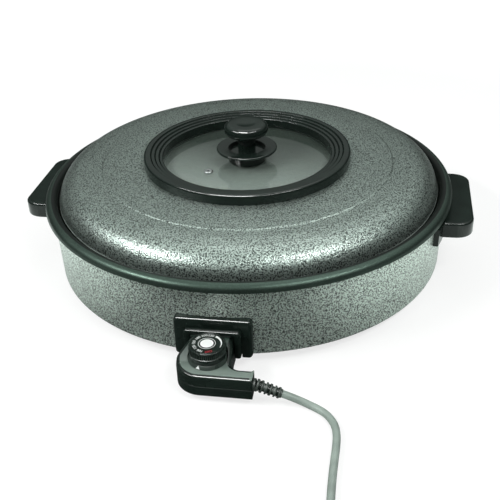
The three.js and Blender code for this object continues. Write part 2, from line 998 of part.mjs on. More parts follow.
// The element's centre line: a cold end, a bend, almost a full ring, a bend and the other cold end.
function elementCurve() {
  const side = inlet.pinSpacing / 2;
  const bendX = side + element.bendRadius;
  const reach = elementRing + element.bendRadius;
  const bendY = -Math.sqrt(reach ** 2 - bendX ** 2);
  const coldEnd = plateBack - clearance;
  const half = [];
  const coldShares = [1, 0.8, 0.6, 0.4, 0.2];
  const coldLength = coldEnd + bendY;
  coldShares.forEach((share) => {
    const y = bendY - share * coldLength;
    const fall = THREE.MathUtils.smoothstep(-y, reach, coldEnd - element.levelEnd);
    half.push(new THREE.Vector3(side, y, THREE.MathUtils.lerp(elementHeight, inlet.pinHeight, fall)));
  });
  const bendEnd = Math.atan2(-bendY, -bendX);
  const bendSteps = 6;
  for (let step = 0; step <= bendSteps; step += 1) {
    const angle = THREE.MathUtils.lerp(Math.PI, bendEnd, step / bendSteps);
    half.push(new THREE.Vector3(
      bendX + element.bendRadius * Math.cos(angle),
      bendY + element.bendRadius * Math.sin(angle),
      elementHeight,
    ));
  }
  const ringStart = Math.atan2(bendY, bendX);
  const ringSteps = 18;
  for (let step = 1; step <= ringSteps; step += 1) {
    const angle = THREE.MathUtils.lerp(ringStart, Math.PI / 2, step / ringSteps);
    half.push(new THREE.Vector3(
      elementRing * Math.cos(angle),
      elementRing * Math.sin(angle),
      elementHeight,
    ));
  }
  const mirrored = half.slice(0, -1).reverse().map(({ x, y, z }) => new THREE.Vector3(-x, y, z));
  return new THREE.CatmullRomCurve3([...half, ...mirrored]);
}

function heatingElement() {
  const tube = sweep(elementCurve(), element.radius, element.sides, element.steps);
  return piece('heating_element', tube, finishes.element);
}

function elementClamps() {
  const top = floorUnderside - clearance;
  const halfTube = element.radius + clamp.tubeRoom;
  const bottom = elementHeight - halfTube;
  const outline = sheetOutline([
    [-halfTube - clamp.tab, top],
    [-halfTube, top],
    [-halfTube, bottom, halfTube],
    [halfTube, bottom, halfTube],
    [halfTube, top],
    [halfTube + clamp.tab, top],
  ], clamp.sheet);
  const one = runForward(outline, -clamp.width / 2, clamp.width / 2);
  one.translate(elementRing, 0, 0);
  return around('element_clamp', one, finishes.steel, clamp);
}

function terminalPins() {
  const near = plateBack;
  const outline = rounded([
    [0, near],
    [inlet.pinRadius, near],
    [inlet.pinRadius, pinReach, inlet.pinTip],
    [0, pinReach],
  ]);
  return leftAndRight('terminal_pin', (side) => {
    const pin = revolve(outline, screwTurn);
    pin.rotateX(Math.PI / 2);
    pin.translate((side * inlet.pinSpacing) / 2, 0, inlet.pinHeight);
    return pin;
  }, finishes.brass);
}

function terminalPlate() {
  const outline = rounded(rectangle(-plateHalfWidth, plate.bottom, plateHalfWidth, plateTop, plate.round));
  const near = plateBack;
  const hole = (x, height, radius) => rod(
    x,
    height,
    radius + clearance,
    near - overrun,
    plateFront + overrun,
    smallTurn,
  );
  const holes = [
    hole(-inlet.pinSpacing / 2, inlet.pinHeight, inlet.pinRadius),
    hole(inlet.pinSpacing / 2, inlet.pinHeight, inlet.pinRadius),
    hole(0, probeHeight, sleeveRadius),
    hole(-socketScrewOffset, socketScrew.height, socketScrew.shankRadius),
    hole(socketScrewOffset, socketScrew.height, socketScrew.shankRadius),
  ];
  return piece('terminal_plate', cut(runForward(outline, near, plateFront), holes), finishes.ceramic);
}

function probeSleeve() {
  const sleeveEnd = plateFront + sleeve.proud;
  const tube = cut(
    rod(0, probeHeight, sleeveRadius, sleeveInnerEnd, sleeveEnd, smallTurn),
    [rod(0, probeHeight, sleeveBore, sleeveInnerEnd + sleeve.endWall, sleeveEnd + overrun, smallTurn)],
  );
  return piece('probe_sleeve', tube, finishes.brass);
}

function earthStrap() {
  const level = floorUnderside - clearance;
  const end = plateBack - clearance;
  const contactStart = plateBack - strap.reach;
  const outline = sheetOutline([
    [-contactStart, level],
    [-contactStart - strap.contactLength, level],
    [-end, elementHeight],
    [-end, elementHeight - strap.drop],
  ].reverse(), strap.sheet);
  const left = strap.offset - strap.width / 2;
  return piece('earth_strap', runSideways(outline, left, left + strap.width), finishes.brass);
}

// Socket

// An inverted U, with room added outside its walls.
function shroudOutline(room, bottom) {
  const side = shroudHalfWidth + room;
  return [
    [-side, bottom],
    [side, bottom],
    [side, shroudTop + room, shroud.outerRound],
    [-side, shroudTop + room, shroud.outerRound],
  ];
}

function socketShroud() {
  const inner = shroudHalfWidth - shroud.wall;
  const ceiling = shroudTop - shroud.topWall;
  const outline = rounded([
    [-shroudHalfWidth, shroud.bottom, shroud.legRound],
    [-inner, shroud.bottom, shroud.legRound],
    [-inner, ceiling, shroud.innerRound],
    [inner, ceiling, shroud.innerRound],
    [inner, shroud.bottom, shroud.legRound],
    [shroudHalfWidth, shroud.bottom, shroud.legRound],
    [shroudHalfWidth, shroudTop, shroud.outerRound],
    [-shroudHalfWidth, shroudTop, shroud.outerRound],
  ]);
  const body = runForward(outline, plateFront + clearance, shroudFront);
  return piece('socket_shroud', body, finishes.plastic);
}

function socketFrame() {
  const edge = rectangle(-frameHalfWidth, frame.bottom, frameHalfWidth, frameTop, frame.cornerRound);
  const bevelled = new THREE.ExtrudeGeometry(new THREE.Shape(rounded(edge)), {
    depth: frameFront - plateFront - frame.bevelDepth,
    bevelEnabled: true,
    bevelThickness: frame.bevelDepth,
    bevelSize: frame.bevelWidth,
    bevelOffset: -frame.bevelWidth,
    bevelSegments: 2,
  });
  bevelled.translate(0, 0, plateFront);
  bevelled.rotateX(Math.PI / 2);
  const opening = runForward(
    rounded(shroudOutline(clearance, frame.bottom - overrun)),
    plateFront - 2 * frame.bevelDepth,
    frameFront + overrun,
  );
  const bores = [-1, 1].map((side) => rod(
    side * socketScrewOffset,
    socketScrew.height,
    socketScrew.shankRadius + clearance,
    plateFront - overrun,
    socketScrewTip + clearance,
    screwTurn,
  ));
  const body = cut(bevelled, [wallCone(clearance), opening, ...bores]);
  return piece('socket_frame', body, finishes.plastic);
}

function socketScrews() {
  const headStart = plateBack - clearance - socketScrew.headHeight;
  return leftAndRight('socket_screw', (side) => {
    const one = screw(socketScrew, headStart, socketScrewTip);
    one.rotateX(Math.PI / 2);
    one.translate(side * socketScrewOffset, 0, socketScrew.height);
    return one;
  }, finishes.steel);
}

// Handles

// Round bars that run straight out along +X or -X where a handle's two studs stand.
function handleBores(side, radius, near, far) {
  return [-1, 1].map((end) => {
    const bar = rod(0, 0, radius, near, far, screwTurn);
    bar.rotateZ((side * Math.PI) / 2);
    bar.translate(0, end * handleStud.offset, (handleBottom + handleTop) / 2);
    return bar;
  });
}

function sideHandle(name, side) {
  const outline = rounded([
    [insideShell, -handle.halfLength],
    [handleReach - handle.outerRound, -handle.halfLength, handle.innerRound],
    [handleReach, -handle.halfLength + handle.endTaper, handle.outerRound],
    [handleReach, handle.halfLength - handle.endTaper, handle.outerRound],
    [handleReach - handle.outerRound, handle.halfLength, handle.innerRound],
    [insideShell, handle.halfLength],
  ]);
  const block = raise(outline, handleBottom, handleTop, handle.edgeRound);
  if (side < 0) {
    block.rotateZ(Math.PI);
  }
  const bores = handleBores(side, handleStud.radius + clearance, insideShell, handleStudOuter + clearance);
  const body = cut(block, [wallCone(bracket.thickness + 2 * clearance), ...bores]);
  return piece(name, body, finishes.mattPlastic);
}

function handleBracket(name, side) {
  const plan = rectangle(insideShell, -bracketHalfLength, handleReach, bracketHalfLength);
  const band = raise(rounded(plan), bracketBottom, bracketTop);
  if (side < 0) {
    band.rotateZ(Math.PI);
  }
  const curved = cut(common(band, wallCone(bracket.thickness + clearance)), [wallCone(clearance)]);
  const studs = handleBores(side, handleStud.radius, handleStudInner, handleStudOuter);
  return piece(name, join([curved, ...studs]), finishes.plastic);
}

// Lid

function lidTopFace() {
  const middleRadius = THREE.MathUtils.lerp(seatRadius, embossRadius, lid.middleShare);
  const face = [
    new THREE.Vector2(lid.holeRadius, lidSeat),
    new THREE.Vector2(seatRadius, lidSeat),
    new THREE.Vector2(middleRadius, crownMiddle),
    new THREE.Vector2(embossRadius - lid.embossSlope / 2, crownEdge + lid.embossStep),
    new THREE.Vector2(embossRadius + lid.embossSlope / 2, crownEdge),
  ];
  for (let step = lid.shoulderSteps; step >= 0; step -= 1) {
    const angle = THREE.MathUtils.degToRad((lid.shoulderEnd * step) / lid.shoulderSteps);
    face.push(new THREE.Vector2(
      shoulderRadius + lid.shoulderWidth * Math.cos(angle),
      lid.shoulderBase + lid.shoulderHeight * Math.sin(angle),
    ));
  }
  return face;
}

function lidShell() {
  const face = lidTopFace();
  const back = offset(face.map(({ x, y }) => [x, y]), lid.sheet, false);
  const beadCentre = new THREE.Vector2(lidEdge - lid.sheet / 2, lid.beadRadius);
  const beadFrom = 30;
  const beadTo = -210;
  const beadSteps = 3;
  const bead = Array.from({ length: beadSteps + 1 }, (_, step) => {
    const angle = THREE.MathUtils.degToRad(THREE.MathUtils.lerp(beadFrom, beadTo, step / beadSteps));
    return new THREE.Vector2(Math.cos(angle), Math.sin(angle)).multiplyScalar(lid.beadRadius).add(beadCentre);
  });
  const outline = [
    ...face.slice(0, -1),
    ...bead,
    ...back.slice(0, -1).reverse().map(([x, y]) => new THREE.Vector2(x, y)),
  ];
  const hole = upright(
    pegRing,
    0,
    peg.radius + clearance,
    lidSeat - lid.sheet - overrun,
    lidSeat + overrun,
    screwTurn,
  );
  const holes = anglesOf(peg).map((angle) => turned(hole, angle));
  return piece('lid_shell', cut(revolve(outline, largeTurn), holes), finishes.hammertoneLid);
}

// Height of the glass's upper face at a distance from its centre.
function glassTop(distance) {
  const share = Math.min(distance / domeRadius, 1);
  return glassEdgeTop + glass.dome * (1 - share ** 2);
}

function windowRing() {
  const innerTop = ringTop - ring.stepCount * ring.stepHeight;
  const steps = [];
  for (let index = 0; index < ring.stepCount; index += 1) {
    const radius = ringInner + ring.stepInset + index * ring.stepWidth;
    steps.push([radius, innerTop + index * ring.stepHeight]);
    steps.push([radius, innerTop + (index + 1) * ring.stepHeight]);
  }
  const outline = rounded([
    [ringInner + ring.throatDraft, throatBottom],
    [ringInner, innerTop, ring.innerRound],
    ...steps,
    [ringOuter, ringTop, ring.outerRound],
    [ringOuter, lidSeat + clearance],
    [lid.holeRadius - clearance, lidSeat + clearance],
    [lid.holeRadius - clearance, throatBottom],
  ]);
  const bore = upright(
    pegRing,
    0,
    peg.radius + clearance,
    throatBottom - overrun,
    pegTip + clearance,
    screwTurn,
  );
  const bores = anglesOf(peg).map((angle) => turned(bore, angle));
  return piece('window_ring', cut(revolve(outline, largeTurn), bores), finishes.plastic);
}

function windowGasket() {
  const outline = rounded([
    [gasketInner, gasketTop],
    [gasketOuter, gasketTop],
    [gasketOuter, gasketBottom],
    [gasketInner, gasketBottom],
    [gasketInner, gasketBottom + gasket.wall],
    [gasketOuter - gasket.wall, gasketBottom + gasket.wall],
    [gasketOuter - gasket.wall, gasketTop - gasket.wall],
    [gasketInner, gasketTop - gasket.wall],
  ]);
  return piece('window_gasket', revolve(outline, hiddenTurn), finishes.silicone);
}

function windowGlass() {
  const face = [];
  for (let step = 0; step <= glass.domeSteps; step += 1) {
    const distance = (domeRadius * step) / glass.domeSteps;
    face.push(new THREE.Vector2(distance, glassTop(distance)));
  }
  face.push(new THREE.Vector2(glassRadius, glassEdgeTop));
  const back = face.map(({ x, y }) => new THREE.Vector2(x, y - glass.thickness)).reverse();
  const ventAt = ventPlace();
  const low = glassEdgeTop - glass.thickness - overrun;
  const high = glassTop(0) + overrun;
  const holes = [
    upright(0, 0, knobScrew.shankRadius + clearance, low, high, smallTurn),
    upright(ventAt.x, ventAt.y, vent.tubeRadius + clearance, low, high, smallTurn),
  ];
  return piece('window_glass', cut(revolve([...face, ...back], hiddenTurn), holes), finishes.glass);
}

function windowClampRing() {
  const low = gasketBottom - clearance - clampRing.sheet;
  const outline = sheetOutline([
    [clampOuter, clampFlangeTop - clampRing.sheet],
    [riserRadius, clampFlangeTop - clampRing.sheet],
    [riserRadius, low],
    [clampInner, low],
  ], clampRing.sheet);
  const one = upright(pegRing, 0, peg.radius, clampFlangeTop - clampRing.sheet / 2, pegTip, screwTurn);
  const pegs = anglesOf(peg).map((angle) => turned(one, angle));
  return piece('window_clamp_ring', join([revolve(outline, largeTurn), ...pegs]), finishes.steel);
}

function ventPlace() {
  const angle = THREE.MathUtils.degToRad(vent.angle);
  return new THREE.Vector2(Math.cos(angle), Math.sin(angle)).multiplyScalar(vent.distance);
}

function steamVent() {
  const top = glassTop(vent.distance - vent.radius) + clearance;
  const bottom = glassTop(vent.distance + vent.radius) - glass.thickness - clearance;
  const outline = rounded([
    [vent.boreRadius, top + vent.flange],
    [vent.radius, top + vent.flange, vent.flange],
    [vent.radius, top],
    [vent.tubeRadius, top],
    [vent.tubeRadius, bottom],
    [vent.radius, bottom],
    [vent.radius, bottom - vent.flange, vent.flange],
    [vent.boreRadius, bottom - vent.flange],
  ]);
  const eyelet = piece('steam_vent', revolve(outline, screwTurn), finishes.steel);
  const place = ventPlace();
  eyelet.position.set(place.x, place.y, 0);
  return eyelet;
}

function lidKnob() {
  const bore = knobScrew.shankRadius + clearance;
  const outline = rounded([
    [0, knobTop - knob.dimpleDepth],
    [knob.dimpleRadius, knobTop, knob.round],
    [knob.radius, knobTop, knob.round],
    [knob.radius, knobTop - knob.thickness, knob.round],
    [knob.neckRadius, knobTop - knob.thickness - knob.dimpleDepth, knob.neckRound],
    [knob.neckRadius, knobBottom],
    [bore, knobBottom],
    [bore, knobScrewTip + clearance],
    [0, knobScrewTip + clearance],
  ]);
  return piece('knob', revolve(outline, mediumTurn), finishes.plastic);
}

function lidKnobBase() {
  const bore = knobScrew.shankRadius + clearance;
  const outline = rounded([
    [bore, knobBaseBottom],
    [knobBase.footRadius, knobBaseBottom, knobBase.recessRound],
    [knobBase.shoulderRadius, flangeBottom, knobBase.flangeRound],
    [knobBase.flangeRadius, flangeBottom, knobBase.flangeRound],
    [knobBase.flangeRadius, flangeTop, knobBase.flangeRound],
    [knobBase.recessRadius, flangeTop - knobBase.recessRound, knobBase.recessRound],
    [knobBase.recessRadius, recessFloor],
    [bore, recessFloor],
  ]);
  return piece('knob_base', revolve(outline, mediumTurn), finishes.plastic);
}

function knobWasher() {
  const top = glassTop(washer.radius) - glass.thickness - clearance;
  const outline = rounded([
    [knobScrew.shankRadius + clearance, top],
    [washer.radius, top],
    [washer.radius, top - washer.thickness],
    [knobScrew.shankRadius + clearance, top - washer.thickness],
  ]);
  return piece('knob_washer', revolve(outline, smallTurn), finishes.silicone);
}

function knobScrewPiece() {
  const seat = glassTop(washer.radius) - glass.thickness - clearance - washer.thickness - clearance;
  const body = screw(knobScrew, seat - knobScrew.headHeight, knobScrewTip);
  return piece('knob_screw', body, finishes.steel);
}

// Control housing

// Plan of the control, its x towards the arm and its y negative away from the pan.
function controlPlan() {
  const flareHalfWidth = control.neckHalfWidth + control.flareSpread;
  const neckFrontHalfWidth = control.neckHalfWidth + control.neckSpread;
  return [
    [-control.neckHalfWidth, -controlBack],
    [-control.neckHalfWidth, -flareStart, control.shoulderRound],
    [-flareHalfWidth, -dialReach, control.shoulderRound],
    [-flareHalfWidth, -controlFront, control.frontRound],
    [control.armReach, -controlFront, control.cornerRound],
    [control.armReach, -armBack, control.cornerRound],
    [neckFrontHalfWidth, -armBack, control.armRound],
    [control.neckHalfWidth, -flareStart, control.shoulderRound],
    [control.neckHalfWidth, -controlBack],
  ];
}

// Side view of the control: the ramp up to the neck, the flat deck and the bottom.
function controlProfile() {
  return [
    [-controlBack + overrun, control.bottom],
    [-controlBack + overrun, control.neckTop],
    [-rampStart, control.neckTop, control.edgeRound],
    [-rampEnd, deckHeight, control.edgeRound],
    [-controlFront - overrun, deckHeight],
    [-controlFront - overrun, control.bottom],
  ];
}

// Places [x, y] of the housing's two screws.
function housingScrewPlaces() {
  return [
    [-housingScrew.side, housingScrew.inset - controlFront],
    [control.armReach - housingScrew.armEnd, housingScrew.armInset - controlFront],
  ];
}

// The control's outer form, or with an inset the room inside its walls.
function controlForm(inset) {
  const low = control.bottom - overrun;
  const high = control.neckTop + overrun;
  const plan = raise(rounded(offset(controlPlan(), -inset)), low, high);
  const profile = rounded(offset(controlProfile(), -inset));
  return common(plan, runSideways(profile, -control.armReach - overrun, control.armReach + overrun));
}

function half(geometry, bottom, top) {
  const side = control.armReach + overrun;
  return common(geometry, box(-side, side, -controlBack + overrun, -controlFront - overrun, bottom, top));
}

function controlHoles() {
  const near = controlBack - overrun;
  const far = controlBack + control.wall + overrun;
  return [
    rod(-inlet.pinSpacing / 2, inlet.pinHeight, inlet.pinRadius + 2 * clearance, near, far, smallTurn),
    rod(inlet.pinSpacing / 2, inlet.pinHeight, inlet.pinRadius + 2 * clearance, near, far, smallTurn),
    rod(0, probeHeight, probe.radius + clearance, near, far, smallTurn),
  ];
}

function reliefHole() {
  const hole = upright(0, 0, relief.neckRadius + relief.neckRoom, -control.wall - overrun, overrun, smallTurn);
  hole.rotateY(Math.PI / 2);
  hole.translate(control.armReach, -reliefDistance, relief.height);
  return hole;
}

function controlUpper() {
  const low = control.seam + control.seamGap / 2;
  const high = control.neckTop + overrun;
  const outer = half(controlForm(0), low, high);
  const room = half(controlForm(control.wall), low - overrun, high);
  const wellRadius = collarRadius + collar.gap;
  const well = upright(0, -dialReach, wellRadius, deckHeight, high, mediumTurn);
  const spindleHole = upright(
    0,
    -dialReach,
    spindle.radius + clearance,
    deckHeight - control.wall - overrun,
    high,
    smallTurn,
  );
  const wellWall = upright(
    0,
    -dialReach,
    wellRadius + control.wall,
    deckHeight - control.wall,
    high,
    mediumTurn,
  );
  const bosses = housingScrewPlaces().map(([x, y]) => upright(
    x,
    y,
    housingScrew.bossRadius,
    low,
    deckHeight - control.wall / 2,
    smallTurn,
  ));
  const bores = housingScrewPlaces().map(([x, y]) => upright(
    x,
    y,
    housingScrew.shankRadius + clearance,
    low - overrun,
    housingScrewTip + clearance,
    screwTurn,
  ));
  const hollow = cut(outer, [room]);
  const filled = join([hollow, common(wellWall, controlForm(0)), ...bosses.map((boss) => common(boss, outer))]);
  const body = cut(filled, [well, spindleHole, ...bores, ...controlHoles(), reliefHole()]);
  return piece('control_upper', body, finishes.plastic);
}

function controlLower() {
  const high = control.seam - control.seamGap / 2;
  const outer = half(controlForm(0), control.bottom - overrun, high);
  const room = half(controlForm(control.wall), control.bottom, high + overrun);
  const holes = housingScrewPlaces().map(([x, y]) => upright(
    x,
    y,
    housingScrew.shankRadius + clearance,
    control.bottom - overrun,
    high + overrun,
    screwTurn,
  ));
  const sinks = housingScrewPlaces().map(([x, y]) => upright(
    x,
    y,
    housingScrew.headRadius + clearance,
    control.bottom - overrun,
    control.bottom + housingScrew.headHeight + clearance,
    screwTurn,
  ));
  const bosses = housingScrewPlaces().map(([x, y]) => upright(
    x,
    y,
    housingScrew.bossRadius + clearance,
    control.bottom,
    high - clearance,
    smallTurn,
  ));
  const hollow = cut(outer, [room]);
  const filled = join([hollow, ...bosses.map((boss) => common(boss, outer))]);
  const body = cut(filled, [...holes, ...sinks, ...controlHoles(), reliefHole()]);
  return piece('control_lower', body, finishes.plastic);
}

function housingScrews() {
  return housingScrewPlaces().map(([x, y], index) => {
    const one = screw(housingScrew, control.bottom, housingScrewTip);
    one.translate(x, y, 0);
    return piece(`housing_screw_${index + 1}`, one, finishes.steel);
  });
}

function probeRod() {
  const tip = sleeveInnerEnd + sleeve.endWall + probe.tipGap;
  const outline = rounded([
    [0, tip],
    [probe.radius, tip, probe.tipRound],
    [probe.radius, probeBack],
    [0, probeBack],
  ]);
  const body = revolve(outline, smallTurn);
  body.rotateX(Math.PI / 2);
  body.translate(0, 0, probeHeight);
  return piece('probe_rod', body, finishes.steel);
}

function receptacles() {
  const near = controlBack + control.wall + clearance;
  return leftAndRight('receptacle', (side) => {
    const x = (side * inlet.pinSpacing) / 2;
    const tube = rod(x, inlet.pinHeight, receptacle.outerRadius, near, near + receptacle.length, smallTurn);
    const boreEnd = pinReach + 2 * clearance;
    const bore = rod(x, inlet.pinHeight, inlet.pinRadius + clearance, near - overrun, boreEnd, smallTurn);
    return cut(tube, [bore]);
  }, finishes.brass);
}

function thermostatSwitch() {
  const start = probeBack + clearance;
  const plan = rectangle(
    -thermostat.halfWidth,
    -start - thermostat.length,
    thermostat.halfWidth,
    -start,
    thermostat.round,
  );
  const body = raise(rounded(plan), innerFloor + thermostat.floorGap, thermostatTop);
  return piece('thermostat_switch', body, finishes.ceramic);
}

function terminalBlock() {
  const terminalFloor = innerFloor + terminal.floorGap;
  const front = controlFront - control.wall - clearance;
  const plan = rectangle(
    terminal.start + thermostat.halfWidth,
    -front,
    terminal.start + thermostat.halfWidth + terminal.length,
    -front + terminal.depth,
    terminal.round,
  );
  const body = raise(rounded(plan), terminalFloor, terminalFloor + terminal.height);
  return piece('terminal_block', body, finishes.ceramic);
}

// Dial

function dialCollar() {
  const bottom = deckHeight + clearance;
  const outline = rounded([
    [spindle.radius + clearance, bottom],
    [collarRadius, bottom],
    [collarRadius, bottom + collar.height, clearance],
    [spindle.radius + clearance, bottom + collar.height],
  ]);
  return piece('dial_collar', revolve(outline, mediumTurn), finishes.plastic);
}

function dialKnob() {
  const skirtTop = dialBottom + dial.skirtHeight;
  const skirtRadius = dial.skirtRadius - dial.fluteDepth;
  const skirt = upright(0, 0, skirtRadius, dialBottom, skirtTop + clearance, dial.fluteCount);
  const flutes = Array.from({ length: 2 * dial.fluteCount }, (_, index) => {
    const angle = (Math.PI * index) / dial.fluteCount;
    const radius = dial.radius - (index % 2) * dial.fluteDepth;
    return new THREE.Vector2(radius * Math.cos(angle), radius * Math.sin(angle));
  });
  const grip = raise(flutes, skirtTop, dialTop - dial.rimRound);
  const rimRadius = dial.radius - dial.fluteDepth - clearance;
  const rim = upright(0, 0, rimRadius, dialTop - 2 * dial.rimRound, dialTop, dial.fluteCount);
  const recess = upright(0, 0, dial.capRadius, dialTop - dial.capRecess, dialTop + overrun, mediumTurn);
  const bore = upright(
    0,
    0,
    spindle.radius + clearance,
    dialBottom - overrun,
    spindleTip + clearance,
    smallTurn,
  );
  return piece('dial', cut(join([skirt, grip, rim]), [recess, bore]), finishes.plastic);
}

function dialCapDisc() {
  const bottom = dialTop - dial.capRecess + clearance;
  const disc = upright(0, 0, dial.capRadius - clearance, bottom, bottom + dialCap.thickness, mediumTurn);
  return piece('dial_cap', disc, finishes.white);
}

function dialSpindle() {
  const body = upright(0, 0, spindle.radius, thermostatTop + clearance, spindleTip, smallTurn);
  return piece('dial_spindle', body, finishes.steel);
}

// Strain relief, written along +Z from the arm's end face and then laid over: a flange with a neck
// that the housing grips, and the ribbed sleeve that droops from it.
function strainRelief() {
  const wallInside = -control.wall - clearance;
  const flangeEnd = clearance + relief.flangeLength;
  const root = revolve(rounded([
    [0, wallInside - relief.collarLength],
    [relief.collarRadius, wallInside - relief.collarLength],
    [relief.collarRadius, wallInside],
    [relief.neckRadius, wallInside],
    [relief.neckRadius, clearance],
    [relief.flangeRadius, clearance],
    [relief.flangeRadius, flangeEnd],
    [0, flangeEnd],
  ]), smallTurn);
  const ribs = [];
  const pitch = relief.length / relief.ribCount;
  for (let index = 0; index < relief.ribCount; index += 1) {
    const start = index * pitch;
    const crest = THREE.MathUtils.lerp(relief.startRadius, relief.endRadius, index / relief.ribCount);
    const ribEnd = start + pitch * relief.ribShare;
    ribs.push([crest, start], [crest, ribEnd]);
    ribs.push([crest - relief.ribDepth, ribEnd], [crest - relief.ribDepth, start + pitch]);
  }
  const lastRibEnd = relief.length - pitch * (1 - relief.ribShare);
  const ribbed = revolve(rounded([[0, 0], ...ribs.slice(0, -2), [0, lastRibEnd]]), screwTurn);
  ribbed.rotateY(THREE.MathUtils.degToRad(relief.droop));
  ribbed.translate(0, 0, flangeEnd);
  const mesh = piece('strain_relief', join([root, ribbed]), finishes.mattPlastic);
  mesh.rotation.set(0, Math.PI / 2, -THREE.MathUtils.degToRad(relief.turn), 'ZYX');
  mesh.position.set(control.armReach, -reliefDistance, relief.height);
  return mesh;
}

// Mains cord

// Free stretch from the strain relief to the coil, laid by hand; places in millimetres.
const cordRoute = [
  [65.1, -248.8, 2.1],
  [70.8, -249.0, 0.3],
  [77.0, -249.4, -1.8],
  [83.6, -250.4, -3.8],
  [90.2, -252.4, -5.2],
  [96.8, -255.6, -5.7],
  [103.2, -260.2, -5.7],
  [108.6, -266.6, -5.7],
  [112.6, -274.6, -5.7],
  [114.6, -284.0, -5.7],
  [115.2, -296.0, -5.7],
  [115.0, -310.0, -5.7],
  [114.8, -325.0, -5.7],
  [114.9, -340.0, -5.7],
  [115.3, -355.0, -5.7],
  [115.7, -370.0, -5.6],
  [116.0, -385.0, -5.4],
  [116.0, -400.0, -5.0],
  [116.0, -414.0, -4.65],
  [116.0, -425.7, -4.65],
];

function mainsCord() {
  const points = cordRoute.map((place) => new THREE.Vector3(...place));
  const curve = new THREE.CatmullRomCurve3(points);
  const tube = sweep(curve, cord.radius, cord.sides, cord.steps);
  return piece('mains_cord', tube, finishes.cord);
}

// The coil starts where the free stretch ends, beside its middle.
function coilCentre() {
  const [endX, endY] = cordRoute[cordRoute.length - 1];
  const outerRadius = coil.meanRadius + (coilPitch * coil.turns) / 4;
  return new THREE.Vector2(endX - outerRadius, endY - clearance);
}

// The coil's centre line: clockwise, spiralling in on the table, climbing a layer in the half turn
// where the spiral reverses, and spiralling out again on top.
class CoilCurve extends THREE.Curve {
  constructor() {
    super();
    this.centre = coilCentre();
  }

  getPoint(share, target = new THREE.Vector3()) {
    const middle = coil.turns / 2;
    const turn = share * coil.turns;
    const innerRadius = coil.meanRadius - (coilPitch * middle) / 2;
    const radius = innerRadius + coilPitch * Math.abs(turn - middle);
    const climb = THREE.MathUtils.smoothstep(turn, middle - 1 / 4, middle + 1 / 4);
    const angle = -2 * Math.PI * turn;
    return target.set(
      this.centre.x + radius * Math.cos(angle),
      this.centre.y + radius * Math.sin(angle),
      coilHeight + coilPitch * climb,
    );
  }
}

// Least distance between the coil's surface and itself, on points that are at least half a turn apart.
function coilSelfGap(curve) {
  const samples = Math.round(coil.turns * 4 * coil.stepsPerTurn);
  const points = curve.getPoints(samples);
  const apart = 2 * coil.stepsPerTurn;
  let least = Infinity;
  for (let first = 0; first < points.length; first += 1) {
    for (let second = first + apart; second < points.length; second += 1) {
      least = Math.min(least, points[first].distanceTo(points[second]));
    }
  }
  return least - 2 * cord.radius;
}

function cordCoil() {
  const curve = new CoilCurve();
  const gap = coilSelfGap(curve);
  console.log(`cord_coil: least gap to itself ${gap.toFixed(2)} mm, over ${coil.leastGap} mm wanted`);
  const steps = Math.round(coil.turns * coil.stepsPerTurn);
  return piece('cord_coil', sweep(curve, cord.radius, coil.sides, steps), finishes.cord);
}

function coilEnd() {
  return new CoilCurve().getPoint(1);
}

function cordTie() {
  const spread = (coilPitch * coil.turns) / 4;
  const left = -spread - cord.radius - tie.slack;
  const right = spread + cord.radius + tie.slack;
  const low = foot.bottom + tie.thickness;
  const high = coilHeight + coilPitch + cord.radius + clearance;
  const room = rounded(rectangle(left, low, right, high, tie.round));
  const outside = rounded(offset(rectangle(left, low, right, high, tie.round), tie.thickness));
  const band = cut(
    runForward(outside, -tie.width / 2, tie.width / 2),
    [runForward(room, -tie.width / 2 - overrun, tie.width / 2 + overrun)],
  );
  band.translate(coil.meanRadius, 0, 0);
  const mesh = piece('cord_tie', turned(band, tie.angle), finishes.rubber);
  const centre = coilCentre();
  mesh.position.set(centre.x, centre.y, 0);
  return mesh;
}

// Short stretch from the coil's end to the plug; steps back and down from the coil's end.
const tailRoute = [
  [0.3, 0],
  [8, -0.2],
  [16, -1.9],
  [24, -4.6],
  [31.5, -7.3],
  [38.5, -8.1],
  [45, -6.95],
];

function tailPoints() {
  const end = coilEnd();
  return tailRoute.map(([back, rise]) => new THREE.Vector3(end.x - back, end.y, end.z + rise));
}

function plugTail() {
  const curve = new THREE.CatmullRomCurve3(tailPoints());
  return piece('plug_tail', sweep(curve, cord.radius, cord.sides, tailSteps), finishes.cord);
}

// Plug, written along +Z from its cord end and then laid on the table
function mainsPlug() {
  const faceStart = plug.sleeveLength + plug.bodyLength - plug.faceDepth;
  const end = plug.sleeveLength + plug.bodyLength;
  const outline = rounded([
    [0, 0],
    [plug.sleeveEndRadius, 0, plug.pinRound],
    [plug.sleeveRootRadius, plug.sleeveLength, plug.faceRound],
    [plug.shoulderRadius, plug.sleeveLength + plug.faceRound, plug.faceRound],
    [plug.waistRadius, faceStart, plug.faceRound],
    [plug.faceRadius, faceStart + plug.faceRound, plug.faceRound],
    [plug.faceRadius, end, plug.faceRound],
    [0, end],
  ]);
  const seat = end - plug.pinSeat;
  const pins = [-1, 1].map((side) => {
    const pin = revolve(rounded([
      [0, seat],
      [plug.pinRadius, seat],
      [plug.pinRadius, end + plug.pinLength, plug.pinRound],
      [0, end + plug.pinLength],
    ]), screwTurn);
    pin.translate((side * plug.pinSpacing) / 2, 0, 0);
    return pin;
  });
  const mesh = piece('mains_plug', join([revolve(outline, mediumTurn), ...pins]), finishes.mattPlastic);
  const tilt = Math.atan2(plug.faceRadius - plug.sleeveEndRadius, faceStart + plug.faceRound);
  const height = foot.bottom + plug.sleeveEndRadius * Math.cos(tilt) + clearance / 2;
  const start = tailPoints().pop();
  mesh.position.set(start.x - 2 * clearance, start.y, height);
  mesh.rotation.y = tilt - Math.PI / 2;
  return mesh;
}

// Assembly

